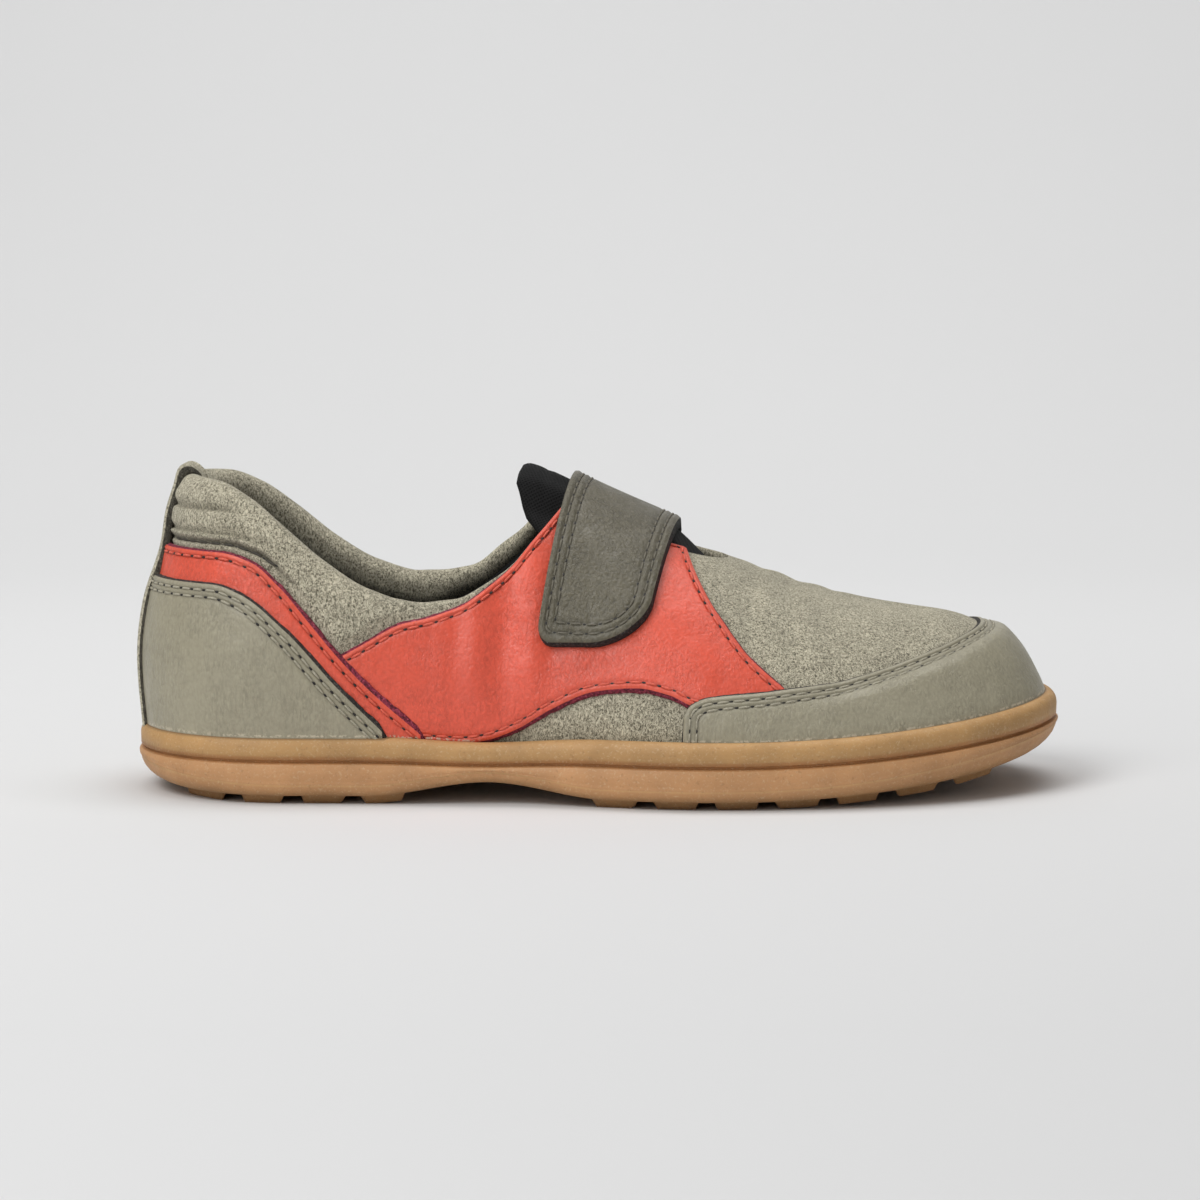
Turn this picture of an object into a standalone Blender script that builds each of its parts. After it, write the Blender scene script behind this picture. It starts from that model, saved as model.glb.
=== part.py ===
"""A toddler's low sneaker for the right foot, empty and unbent, standing on its sole.

Metres, Z up from the floor. X runs from the back of the heel at 0 to the tip of the toe, and finished
meshes are shifted back by half the sole, so the origin lies under the middle. +Y is the medial side.
"""
from collections import namedtuple

import bmesh
import bpy
import numpy as np

# Driving sizes of the whole shoe
SOLE_LENGTH = 0.150
BALL_WIDTH = 0.066
HEEL_WIDTH = 0.051
WAIST_LATERAL = 0.0262
WAIST_MEDIAL = 0.0236
TOE_SPRING = 0.005
ARCH_RISE = 0.0023

# Plan of the shoe: where it is widest, and how square its ends are
BALL_X_LATERAL = 0.092
BALL_X_MEDIAL = 0.100
BALL_X = (BALL_X_LATERAL + BALL_X_MEDIAL) / 2
WAIST_SHARE = 0.52
HEEL_X = 0.026
TOE_TIP_Y = 0.004
TOE_POWER_LATERAL = 2.15
TOE_POWER_MEDIAL = 2.7
HEEL_POWER = 2.15

# Sole
SOLE_RIM = 0.0036
LUG_DEPTH = 0.0013
LUG_SINK = 0.0008
LUG_INSET = 0.0007
LUG_LENGTH = 0.0066
LUG_PITCH = 0.0096
LUG_SPLIT = 0.0026
HEEL_LUGS_X = 0.0085
HEEL_LUG_ROWS = 4
FORE_LUGS_X = 0.0740
FORE_LUG_ROWS = 7
SOLE_FLOOR = 0.0047
FLOOR_ARCH = 0.0008
GROOVE_HEIGHT = 0.0069
LIP_HEIGHT = 0.0106
LIP_WAIST_DROP = 0.0009
SPRING_START = 0.095
ARCH_X = 0.057
ARCH_REACH = 0.019
EDGE_INSET = 0.0016
EDGE_RISE = 0.0018
TOE_EDGE_INSET = 0.0068
HEEL_EDGE_INSET = 0.0064
END_EDGE_RISE = 0.0043

# Upper
GAP = 0.0003
WALL = 0.0018
COLLAR_PAD = 0.0026
COLLAR_PUFF = 0.0008
COLLAR_FRONT = 0.046
COLLAR_FADE = 0.010
CREST_TOE_X = 0.112
CREST_TOE_REACH = 0.016
CREST_HEEL_X = 0.034
CREST_HEEL_REACH = 0.016
BULGE_SHARE = 0.5
THROAT_HALF = 0.009
THROAT_ROUND = 0.010
CORNER_SHARPNESS = 40.0

# Overlays: how far each one stands out from the suede
QUARTER_OUT = 0.0013
STRIPE_OUT = 0.0016
COUNTER_OUT = 0.0019
CAP_OUT = 0.0018
STRIP_OUT = 0.0022
STRIP_HALF = 0.0058
STRIP_CLEAR_U = 0.02
LIP_CLEAR = 0.00055
SEAM_GAP = 0.0004

# Strap, tongue and insole
STRAP_X = 0.0795
STRAP_WIDTH = 0.0170
STRAP_THICK = 0.0015
STRAP_LEAN_LATERAL = 0.0035
STRAP_LEAN_MEDIAL = 0.0090
STRAP_END_Z = 0.0245
STRAP_ANCHOR_Z = 0.0205
STRAP_REAR_RADIUS = 0.0025
STRAP_FRONT_RADIUS = 0.0085
STRAP_ANCHOR_RADIUS = 0.0020
TONGUE_HALF = 0.0145
TONGUE_THICK = 0.0028
TONGUE_FRONT_X = 0.100
TONGUE_TOP_X = 0.0620
TONGUE_ROUND = 0.011
TONGUE_TAPER = 0.78
TONGUE_DROOP = 0.0016
TONGUE_CLEAR = 0.0006
TONGUE_PUFF = 0.0029
INSOLE_THICK = 0.0030
INSOLE_ROUND = 0.0008

# How finely the forms are divided
TOE_RIBS = 12
SIDE_RIBS = 20
THROAT_CROWDING = 1.5
HEEL_RIBS = 8
ROWS_BELOW_SEAM = 7
ROWS_ABOVE_SEAM = 4
SEAM_SHARE = 0.62

# Sections of the shoe along the crest: crest height and side shift, flank fullness and side bulge
Section = namedtuple("Section", "x crest_z crest_y flank bulge")
SECTIONS = (
    Section(0.018, 0.0770, 0.0000, 2.15, 0.0015),
    Section(0.034, 0.0730, 0.0004, 2.15, 0.0013),
    Section(0.048, 0.0635, 0.0010, 2.10, 0.0010),
    Section(0.060, 0.0545, 0.0016, 2.05, 0.0009),
    Section(0.072, 0.0475, 0.0022, 2.05, 0.0008),
    Section(0.085, 0.0415, 0.0028, 2.10, 0.0007),
    Section(0.098, 0.0360, 0.0034, 2.25, 0.0006),
    Section(0.112, 0.0312, 0.0038, 2.40, 0.0005),
    Section(0.128, 0.0278, 0.0040, 2.50, 0.0004),
)

# Top edge of the collar on both sides, as heights over the floor
Collar = namedtuple("Collar", "x lateral medial")
COLLAR = (
    Collar(0.000, 0.0500, 0.0500),
    Collar(0.010, 0.0494, 0.0494),
    Collar(0.017, 0.0470, 0.0472),
    Collar(0.024, 0.0424, 0.0430),
    Collar(0.031, 0.0368, 0.0378),
    Collar(0.038, 0.0324, 0.0338),
    Collar(0.046, 0.0302, 0.0318),
    Collar(0.053, 0.0318, 0.0332),
    Collar(0.060, 0.0370, 0.0380),
    Collar(0.068, 0.0460, 0.0465),
    Collar(0.080, 0.0620, 0.0620),
)

# Edges of the overlays, as heights over the lip of the sole
Edge = namedtuple("Edge", "x rise")
COUNTER_EDGE = (
    Edge(0.0000, 0.0232),
    Edge(0.0140, 0.0230),
    Edge(0.0185, 0.0216),
    Edge(0.0260, 0.0155),
    Edge(0.0335, 0.0076),
    Edge(0.0415, 0.0000),
)
STRIPE_EDGE = (
    Edge(0.0000, 0.0284),
    Edge(0.0140, 0.0282),
    Edge(0.0195, 0.0268),
    Edge(0.0240, 0.0232),
    Edge(0.0290, 0.0176),
    Edge(0.0340, 0.0119),
    Edge(0.0395, 0.0064),
    Edge(0.0475, 0.0000),
)
QUARTER_TOP = (
    Edge(0.0340, 0.0126),
    Edge(0.0380, 0.0148),
    Edge(0.0430, 0.0178),
    Edge(0.0480, 0.0206),
    Edge(0.0560, 0.0300),
    Edge(0.0620, 0.0450),
)
QUARTER_FRONT = (
    Edge(0.0780, 0.0420),
    Edge(0.0850, 0.0300),
    Edge(0.0890, 0.0232),
    Edge(0.0930, 0.0175),
    Edge(0.0970, 0.0128),
    Edge(0.1010, 0.0093),
    Edge(0.1040, 0.0070),
)
QUARTER_FOOT = (
    Edge(0.0480, 0.0000),
    Edge(0.0570, 0.0004),
    Edge(0.0620, 0.0020),
    Edge(0.0680, 0.0050),
    Edge(0.0750, 0.0074),
    Edge(0.0810, 0.0079),
    Edge(0.0860, 0.0069),
    Edge(0.0900, 0.0052),
    Edge(0.0960, 0.0046),
)
QUARTER_REAR_X = 0.0352
QUARTER_FRONT_X = 0.1025
CAP_EDGE = (
    Edge(0.0880, 0.0030),
    Edge(0.0890, 0.0052),
    Edge(0.0920, 0.0064),
    Edge(0.1000, 0.0068),
    Edge(0.1100, 0.0077),
    Edge(0.1200, 0.0092),
    Edge(0.1300, 0.0105),
    Edge(0.1400, 0.0111),
    Edge(0.1470, 0.0110),
)
CAP_REAR_X = 0.0882

# Side of the sole from lip to groove: how far out, and the height beside the named level
Step = namedtuple("Step", "out level shift")
SOLE_SIDE = (
    Step(0.0016, "lip", 0.0002),
    Step(0.0028, "lip", -0.0004),
    Step(0.0034, "lip", -0.0013),
    Step(0.0036, "lip", -0.0023),
    Step(0.0034, "groove", 0.0004),
    Step(0.0029, "groove", 0.0000),
    Step(0.0034, "groove", -0.0004),
)

# Colours seen on the shoe
STONE_LEATHER = (0.300, 0.278, 0.205)
STRAP_LEATHER = (0.190, 0.172, 0.124)
RED_LEATHER = (0.640, 0.105, 0.064)
STONE_SUEDE = (0.340, 0.315, 0.240)
GUM_RUBBER = (0.430, 0.240, 0.115)
BLACK_CLOTH = (0.018, 0.017, 0.018)

LATERAL = -1
MEDIAL = 1
QUARTER_TURN = np.pi / 2


def through(xs, ys, x):
    """Value at x of a smooth curve through the points (xs, ys) that never swings past them."""
    xs = np.asarray(xs, float)
    ys = np.asarray(ys, float)
    step = np.diff(xs)
    slope = np.diff(ys) / step
    before, after = slope[:-1], slope[1:]
    same_way = before * after > 0
    total = np.where(same_way, before + after, 1.0)
    middle = np.where(same_way, 2 * before * after / total, 0.0)
    lean = np.concatenate([slope[:1], middle, slope[-1:]])
    i = np.clip(np.searchsorted(xs, x) - 1, 0, len(step) - 1)
    f = np.clip((x - xs[i]) / step[i], 0.0, 1.0)
    start = ys[i] * (1 + 2 * f) * (1 - f) ** 2 + lean[i] * step[i] * f * (1 - f) ** 2
    end = ys[i + 1] * f**2 * (3 - 2 * f) - lean[i + 1] * step[i] * f**2 * (1 - f)
    return start + end


def column(table, name, x):
    """One named column of a table, read smoothly at x."""
    return through([row.x for row in table], [getattr(row, name) for row in table], x)


def ease(start, end, x):
    """Rises from 0 at start to 1 at end with level ends."""
    f = np.clip((x - start) / (end - start), 0.0, 1.0)
    return f * f * (3 - 2 * f)


def on_side(side, lateral, medial):
    """The lateral or the medial value, as side says."""
    return np.where(np.asarray(side) < 0, lateral, medial)


def plan(side, u):
    """Foot outline inside the sole's rim.

    u runs from 0 to 1 round the toe, to 2 along the side and to 3 round the heel.
    """
    side, u = np.broadcast_arrays(np.asarray(side, float), np.asarray(u, float))
    ball_x = on_side(side, BALL_X_LATERAL, BALL_X_MEDIAL)
    power = on_side(side, TOE_POWER_LATERAL, TOE_POWER_MEDIAL)
    ball_y = side * (BALL_WIDTH / 2 - SOLE_RIM)
    heel_y = side * (HEEL_WIDTH / 2 - SOLE_RIM)
    waist_y = side * (on_side(side, WAIST_LATERAL, WAIST_MEDIAL) - SOLE_RIM)

    toe = np.clip(u, 0, 1) * QUARTER_TURN
    toe_x = ball_x + (SOLE_LENGTH - SOLE_RIM - ball_x) * np.cos(toe) ** (2 / power)
    toe_y = TOE_TIP_Y + (ball_y - TOE_TIP_Y) * np.sin(toe) ** (2 / power)

    along = np.clip(u - 1, 0, 1)
    side_x = ball_x + (HEEL_X - ball_x) * along
    fore = waist_y + (ball_y - waist_y) * ease(WAIST_SHARE, 0, along)
    rear = waist_y + (heel_y - waist_y) * ease(WAIST_SHARE, 1, along)
    side_y = np.where(along < WAIST_SHARE, fore, rear)

    heel = np.clip(3 - u, 0, 1) * QUARTER_TURN
    heel_x = HEEL_X - (HEEL_X - SOLE_RIM) * np.cos(heel) ** (2 / HEEL_POWER)
    round_y = heel_y * np.sin(heel) ** (2 / HEEL_POWER)

    x = np.where(u < 1, toe_x, np.where(u < 2, side_x, heel_x))
    y = np.where(u < 1, toe_y, np.where(u < 2, side_y, round_y))
    return x, y


def plan_normal(side, u):
    """Unit vector in plan that points out of the outline."""
    nudge = 1e-3
    ahead_x, ahead_y = plan(side, np.clip(u + nudge, 0, 3))
    behind_x, behind_y = plan(side, np.clip(u - nudge, 0, 3))
    along_x, along_y = ahead_x - behind_x, ahead_y - behind_y
    length = np.hypot(along_x, along_y)
    return side * along_y / length, -side * along_x / length


def u_at(side, x):
    """Place along the outline of one side whose point has this x."""
    dense = np.linspace(0, 3, 3001)
    return np.interp(x, plan(side, dense)[0][::-1], dense[::-1])


def spring(x):
    """How far the sole curls up towards the toe."""
    return TOE_SPRING * np.clip((x - SPRING_START) / (SOLE_LENGTH - SPRING_START), 0, 1) ** 2


def arch(x):
    """1 in the middle of the arch and 0 at the heel and the ball."""
    return ease(ARCH_REACH, 0, np.abs(x - ARCH_X))


def bottom_z(x):
    return LUG_DEPTH + spring(x) + ARCH_RISE * arch(x)


def floor_z(x):
    return SOLE_FLOOR + spring(x) + FLOOR_ARCH * arch(x)


def groove_z(x):
    return GROOVE_HEIGHT + spring(x) - LIP_WAIST_DROP * arch(x) / 2


def lip_z(x):
    return LIP_HEIGHT + spring(x) - LIP_WAIST_DROP * arch(x)


def crest(u):
    """Line along the top of the foot where the ribs of both sides meet."""
    middle = (plan(LATERAL, u)[0] + plan(MEDIAL, u)[0]) / 2
    past_toe = np.maximum(middle - CREST_TOE_X, 0)
    past_heel = np.maximum(CREST_HEEL_X - middle, 0)
    x = np.clip(middle, CREST_HEEL_X, CREST_TOE_X)
    x = x + CREST_TOE_REACH * (1 - np.exp(-past_toe / CREST_TOE_REACH))
    x = x - CREST_HEEL_REACH * (1 - np.exp(-past_heel / CREST_HEEL_REACH))
    return x, column(SECTIONS, "crest_y", x), column(SECTIONS, "crest_z", x)


def u_at_crest(x):
    """Place along the outline whose rib ends at this x on the crest."""
    dense = np.linspace(0, 3, 3001)
    return np.interp(x, crest(dense)[0][::-1], dense[::-1])


def form(side, u, theta, grow=0.0):
    """Point of the last: each rib rises from the outline to the crest as a quarter of a superellipse.

    theta turns from 0 at the cup of the sole to a quarter turn at the crest. grow makes a larger or a
    smaller form that lies that far outside or inside the last.
    """
    base_x, base_y = plan(side, u)
    out_x, out_y = plan_normal(side, u)
    crest_x, crest_y, crest_z = crest(u)
    base_z = floor_z(base_x) + GAP
    inward = 1 - np.clip(np.cos(theta), 0, 1) ** (2 / column(SECTIONS, "flank", crest_x))
    upward = np.clip(np.sin(theta), 0, 1)
    swell = np.sin(np.pi * np.clip(upward / BULGE_SHARE, 0, 1)) ** 2
    out = grow * (1 - inward) + column(SECTIONS, "bulge", crest_x) * swell
    x = base_x + (crest_x - base_x) * inward + out_x * out
    y = base_y + (crest_y - base_y) * inward + out_y * out
    z = base_z + (crest_z + grow - base_z) * upward
    return np.stack(np.broadcast_arrays(x, y, z), axis=-1)


def theta_at_height(side, u, z):
    """Turn along the rib at which the last reaches this height; more than a quarter turn above the crest."""
    base_z = floor_z(plan(side, u)[0]) + GAP
    share = (z - base_z) / (crest(u)[2] - base_z)
    return np.arcsin(np.clip(share, 0, 1)) + np.maximum(share - 1, 0)


def theta_at_width(side, u, width):
    """Turn along the rib at this distance in plan from the crest."""
    base_x, base_y = plan(side, u)
    crest_x, crest_y, _ = crest(u)
    reach = np.hypot(base_x - crest_x, base_y - crest_y)
    flank = column(SECTIONS, "flank", crest_x)
    return np.arccos(np.clip(width / reach, 0, 1) ** (flank / 2))


def theta_over_lip(side, u, rise):
    """Turn along the rib at this rise over the lip of the sole."""
    return theta_at_height(side, u, lip_z(plan(side, u)[0]) + rise)


def collar_z(side, x):
    return on_side(side, column(COLLAR, "lateral", x), column(COLLAR, "medial", x))


def theta_top(side, u):
    """Turn at the edge of the opening: the lower of collar and throat, with a soft corner between them."""
    collar = theta_at_height(side, u, collar_z(side, plan(side, u)[0]))
    back = np.clip((BALL_X - crest(u)[0]) / THROAT_ROUND, 0, 1)
    half = THROAT_HALF * np.sqrt(1 - (1 - back) ** 2)
    throat = theta_at_width(side, u, half)
    soft = np.exp(-CORNER_SHARPNESS * collar) + np.exp(-CORNER_SHARPNESS * throat)
    lower = -np.log(soft) / CORNER_SHARPNESS
    return np.where(u <= 1, QUARTER_TURN, np.minimum(lower, QUARTER_TURN))


def collar_share(side, u):
    """1 along the padded collar, fading to 0 in front of it."""
    return ease(COLLAR_FRONT + COLLAR_FADE, COLLAR_FRONT, plan(side, u)[0])


def collar_seam(side, u):
    """Turn at the seam under the padded collar, along the red stripe and the red quarter."""
    x = plan(side, u)[0]
    stripe = column(STRIPE_EDGE, "rise", x)
    quarter = np.where(x > QUARTER_REAR_X, column(QUARTER_TOP, "rise", x), 0)
    return theta_over_lip(side, u, np.maximum(stripe, quarter) + SEAM_GAP)


def collar_puff(side, u, theta):
    """How far the padded collar swells out between its seam and its top edge."""
    low = collar_seam(side, u)
    tall = theta_top(side, u) - low
    share = np.clip((theta - low) / np.maximum(tall, 0.01), 0, 1)
    return COLLAR_PUFF * ease(0.02, 0.12, tall) * np.sin(np.pi * share) ** 2


def rib_rows(side, u):
    """Turns of the upper's rows: some up to the collar's seam, the rest between seam and top edge."""
    top = theta_top(side, u)
    split = SEAM_SHARE + (np.clip(collar_seam(side, u) / top, 0, 0.85) - SEAM_SHARE) * collar_share(side, u)
    below = np.linspace(0, 1, ROWS_BELOW_SEAM)[:, None] * split
    above = split + np.linspace(0, 1, ROWS_ABOVE_SEAM + 1)[1:, None] * (1 - split)
    return np.concatenate([below, above]) * top


def wall_at(side, u, theta):
    """Wall thickness: thin leather and lining, thicker in the padded collar."""
    share = ease(0.45, 0.9, theta / theta_top(side, u))
    return WALL + COLLAR_PAD * collar_share(side, u) * share


def rib_places():
    """Places of the ribs along one side, closer together at the front of the throat."""
    toe = np.linspace(0, 1, TOE_RIBS + 1)
    flank = 1 + np.linspace(0, 1, SIDE_RIBS + 1) ** THROAT_CROWDING
    heel = np.linspace(2, 3, HEEL_RIBS + 1)
    return np.concatenate([toe, flank[1:], heel[1:]])


RIBS = rib_places()
RING_U = np.concatenate([RIBS, RIBS[-2:0:-1]])
RING_SIDE = np.concatenate([np.full(len(RIBS), LATERAL), np.full(len(RIBS) - 2, MEDIAL)])


def add_grid(bm, points, wrap=False, keep=None):
    """Quads over a grid of points (rows, columns); wrap closes the columns, keep says which columns to fill."""
    rows, columns = points.shape[:2]
    verts = [[bm.verts.new(p) for p in row] for row in points]
    for j in range(rows - 1):
        for i in range(columns if wrap else columns - 1):
            k = (i + 1) % columns
            if keep is None or keep[i]:
                bm.faces.new((verts[j][i], verts[j][k], verts[j + 1][k], verts[j + 1][i]))
    return verts


def add_ladder(bm, ring):
    """Closes a ring of points with rungs between its lateral and its medial half."""
    verts = [bm.verts.new(p) for p in ring]
    last = len(RIBS) - 1
    for i in range(last):
        around = [verts[i], verts[i + 1], verts[-i - 1], verts[-i]]
        corners = [v for n, v in enumerate(around) if v not in around[:n]]
        bm.faces.new(corners)


def make_part(name, bm, material):
    """A named object from a mesh, welded, facing out and shifted so that the sole is centred."""
    bmesh.ops.remove_doubles(bm, verts=bm.verts, dist=1e-7)
    bmesh.ops.translate(bm, verts=bm.verts, vec=(-SOLE_LENGTH / 2, 0, 0))
    bmesh.ops.recalc_face_normals(bm, faces=bm.faces)
    bmesh.ops.triangulate(bm, faces=bm.faces, quad_method="SHORT_EDGE")
    mesh = bpy.data.meshes.new(name)
    bm.to_mesh(mesh)
    bm.free()
    mesh.materials.append(material)
    mesh.shade_smooth()
    mesh.set_sharp_from_angle(angle=np.radians(40))
    part = bpy.data.objects.new(name, mesh)
    bpy.context.scene.collection.objects.link(part)
    part.parent = bpy.data.objects["sneaker"]
    return part


def make_layer(name, inner, outer, material):
    """A closed piece between an inner and an outer grid of the same shape."""
    bm = bmesh.new()
    add_grid(bm, inner)
    add_grid(bm, outer)
    add_grid(bm, np.stack([border(inner), border(outer)]), wrap=True)
    return make_part(name, bm, material)


def border(points):
    """The points round the edge of a grid, in order."""
    return np.concatenate([points[0, :-1], points[:-1, -1], points[-1, :0:-1], points[:0:-1, 0]])


def make_material(name, colour, roughness):
    material = bpy.data.materials.new(name)
    material.use_nodes = True
    shader = material.node_tree.nodes["Principled BSDF"]
    shader.inputs["Base Color"].default_value = (*colour, 1)
    shader.inputs["Roughness"].default_value = roughness
    shader.inputs["Metallic"].default_value = 0
    return material


def beside(side, u, out, z):
    """Points at a distance outside the outline, at given heights."""
    x, y = plan(side, u)
    out_x, out_y = plan_normal(side, u)
    return np.stack(np.broadcast_arrays(x + out * out_x, y + out * out_y, z), axis=-1)


def end_shares():
    """Shares of toe and heel rounding round the ring: 1 at the tip, 0 along the sides."""
    toe = np.cos(np.clip(RING_U, 0, 1) * QUARTER_TURN) ** 2
    heel = np.cos(np.clip(3 - RING_U, 0, 1) * QUARTER_TURN) ** 2
    return toe, heel


def sole_edge():
    """Rings of the sole's lower edge, rounded small along the sides and large at toe and heel."""
    toe, heel = end_shares()
    inset = EDGE_INSET + (TOE_EDGE_INSET - EDGE_INSET) * toe + (HEEL_EDGE_INSET - EDGE_INSET) * heel
    rise = EDGE_RISE + (END_EDGE_RISE - EDGE_RISE) * (toe + heel)
    rings = []
    for turn in np.linspace(0, QUARTER_TURN, 4):
        out = SOLE_RIM - inset * (1 - np.cos(turn))
        foot = beside(RING_SIDE, RING_U, out, 0.0)
        foot[:, 2] = bottom_z(foot[:, 0]) + rise * (1 - np.sin(turn))
        rings.append(foot)
    return rings


def make_sole(material):
    """Cup sole: inner wall, rounded lip, groove, sidewall and tread."""
    cup = theta_over_lip(RING_SIDE, RING_U, 0.0)
    inside = form(RING_SIDE, RING_U, 0 * RING_U, GAP)
    inside[:, 2] = floor_z(plan(RING_SIDE, RING_U)[0])
    rings = [inside, form(RING_SIDE, RING_U, cup, GAP)]
    base_x = plan(RING_SIDE, RING_U)[0]
    levels = {"lip": lip_z(base_x), "groove": groove_z(base_x)}
    for step in SOLE_SIDE:
        rings.append(beside(RING_SIDE, RING_U, step.out, levels[step.level] + step.shift))
    edge = sole_edge()
    rings.extend(edge)
    bm = bmesh.new()
    add_grid(bm, np.array(rings), wrap=True)
    add_ladder(bm, rings[0])
    add_ladder(bm, rings[-1])
    sole = make_part("outsole", bm, material)
    join = sole.modifiers.new("lugs", "BOOLEAN")
    join.operation = "UNION"
    join.solver = "EXACT"
    join.object = make_lugs(edge[-1], material)


def make_lugs(foot, material):
    """Rows of tread bars in two halves that follow the edge of the sole."""
    bm = bmesh.new()
    starts = [HEEL_LUGS_X + LUG_PITCH * n for n in range(HEEL_LUG_ROWS)]
    starts += [FORE_LUGS_X + LUG_PITCH * n for n in range(FORE_LUG_ROWS)]
    for start in starts:
        x = np.linspace(start, start + LUG_LENGTH, 4)
        edges = []
        for side in (LATERAL, MEDIAL):
            half = foot[RING_SIDE == side]
            order = np.argsort(half[:, 0])
            edges.append(np.interp(x, half[order, 0], half[order, 1]) - side * LUG_INSET)
        middle = (edges[0] + edges[1]) / 2
        for side, outer in zip((LATERAL, MEDIAL), edges):
            inner = middle + side * LUG_SPLIT / 2
            low = bottom_z(x) - LUG_DEPTH
            high = bottom_z(x) + LUG_SINK
            around = [(inner, low), (outer, low), (outer, high), (inner, high)]
            bar = np.array([np.stack([x, y, z], axis=-1) for y, z in around])
            add_grid(bm, np.swapaxes(bar, 0, 1), wrap=True)
            for end in (0, -1):
                bm.faces.new([bm.verts.new(p) for p in bar[:, end]])
    lugs = make_part("lugs", bm, material)
    lugs.hide_render = True
    lugs.display_type = "WIRE"
    return lugs


def make_insole(material):
    """Foam footbed that fills the bottom of the cup inside the upper."""
    inset = -(WALL + GAP)
    foot = form(RING_SIDE, RING_U, 0 * RING_U, inset)
    floor = floor_z(foot[:, 0]) + GAP
    rings = [foot, foot.copy(), form(RING_SIDE, RING_U, 0 * RING_U, inset - INSOLE_ROUND)]
    for ring, lift in zip(rings, (0.0, INSOLE_THICK - INSOLE_ROUND, INSOLE_THICK)):
        ring[:, 2] = floor + lift
    bm = bmesh.new()
    add_grid(bm, np.array(rings), wrap=True)
    add_ladder(bm, rings[0])
    add_ladder(bm, rings[-1])
    make_part("insole", bm, material)


def make_upper(material):
    """Hollow suede upper: outer wall, rolled top edge and inner wall, open below and at the foot opening."""
    top = theta_top(RING_SIDE, RING_U)
    theta = rib_rows(RING_SIDE, RING_U)
    outer = form(RING_SIDE, RING_U, theta, collar_puff(RING_SIDE, RING_U, theta))
    inner = form(RING_SIDE, RING_U, theta, -wall_at(RING_SIDE, RING_U, theta))
    roll = (outer[-1] - outer[-2]) / np.linalg.norm(outer[-1] - outer[-2], axis=-1, keepdims=True)
    height = np.linalg.norm(outer[-1] - inner[-1], axis=-1) / 2 * ease(QUARTER_TURN, 1.25, top)
    rim = [outer[-1]]
    for turn in (0.25 * np.pi, 0.5 * np.pi, 0.75 * np.pi):
        across = (1 - np.cos(turn)) / 2
        lift = (height * np.sin(turn))[:, None] * roll
        rim.append(outer[-1] + (inner[-1] - outer[-1]) * across + lift)
    rim.append(inner[-1])
    open_rib = (RING_U > 1) | (np.roll(RING_U, -1) > 1)
    bm = bmesh.new()
    add_grid(bm, outer, wrap=True)
    add_grid(bm, np.array(rim), wrap=True, keep=open_rib)
    add_grid(bm, inner, wrap=True)
    add_grid(bm, np.stack([outer[0], inner[0]]), wrap=True)
    make_part("upper", bm, material)


def side_columns(side, rear_x, front_x):
    """Places along one side from rear to front: both ends and every rib between them."""
    rear, front = u_at(side, rear_x), u_at(side, front_x)
    clear = 0.015
    between = RIBS[(RIBS < rear - clear) & (RIBS > front + clear)][::-1]
    return np.concatenate([[rear], between, [front]])


def make_side_overlay(name, side, places, low, high, out, rows, material):
    """Overlay on one side of the upper between a lower and an upper turn along each rib."""
    share = np.linspace(0, 1, rows)[:, None]
    theta = low + (high - low) * share
    make_layer(name, form(side, places, theta, GAP), form(side, places, theta, out), material)


def strip_place():
    """Place along the outline at the edge of the heel strip."""
    heel_half = HEEL_WIDTH / 2 - SOLE_RIM
    turn = np.arcsin((STRIP_HALF / heel_half) ** (HEEL_POWER / 2))
    return 3 - turn / QUARTER_TURN


def make_counter(side, name, material):
    """Heel counter from the heel strip to where its edge runs down to the sole."""
    rear_x = plan(side, strip_place() - STRIP_CLEAR_U)[0]
    places = side_columns(side, rear_x, COUNTER_EDGE[-1].x - 0.0012)
    x = plan(side, places)[0]
    low = theta_over_lip(side, places, LIP_CLEAR)
    high = theta_over_lip(side, places, np.maximum(column(COUNTER_EDGE, "rise", x), 0.0009))
    make_side_overlay(name, side, places, low, high, COUNTER_OUT, 6, material)


def make_stripe(side, name, material):
    """Red stripe that borders the counter from the heel strip down to the sole."""
    rear_x = plan(side, strip_place() - STRIP_CLEAR_U)[0]
    places = side_columns(side, rear_x, STRIPE_EDGE[-1].x - 0.0012)
    x = plan(side, places)[0]
    foot = np.maximum(column(COUNTER_EDGE, "rise", x) + SEAM_GAP, LIP_CLEAR)
    low = theta_over_lip(side, places, foot)
    high = theta_over_lip(side, places, np.maximum(column(STRIPE_EDGE, "rise", x), 0.0010))
    make_side_overlay(name, side, places, low, high, STRIPE_OUT, 3, material)


def make_quarter(side, name, material):
    """Red quarter between stripe, opening, toe cap and sole, cut away over the suede at its foot."""
    places = side_columns(side, QUARTER_REAR_X, QUARTER_FRONT_X)
    x = plan(side, places)[0]
    stripe = column(STRIPE_EDGE, "rise", x) + SEAM_GAP
    cap = (column(CAP_EDGE, "rise", x) + SEAM_GAP) * (x > CAP_REAR_X)
    foot = np.maximum(np.maximum(stripe, column(QUARTER_FOOT, "rise", x)), np.maximum(cap, LIP_CLEAR))
    head = np.where(x < STRAP_X, column(QUARTER_TOP, "rise", x), column(QUARTER_FRONT, "rise", x))
    low = theta_over_lip(side, places, foot)
    high = np.minimum(theta_over_lip(side, places, head), theta_top(side, places) - 0.012)
    make_side_overlay(name, side, places, low, high, QUARTER_OUT, 8, material)


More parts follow.
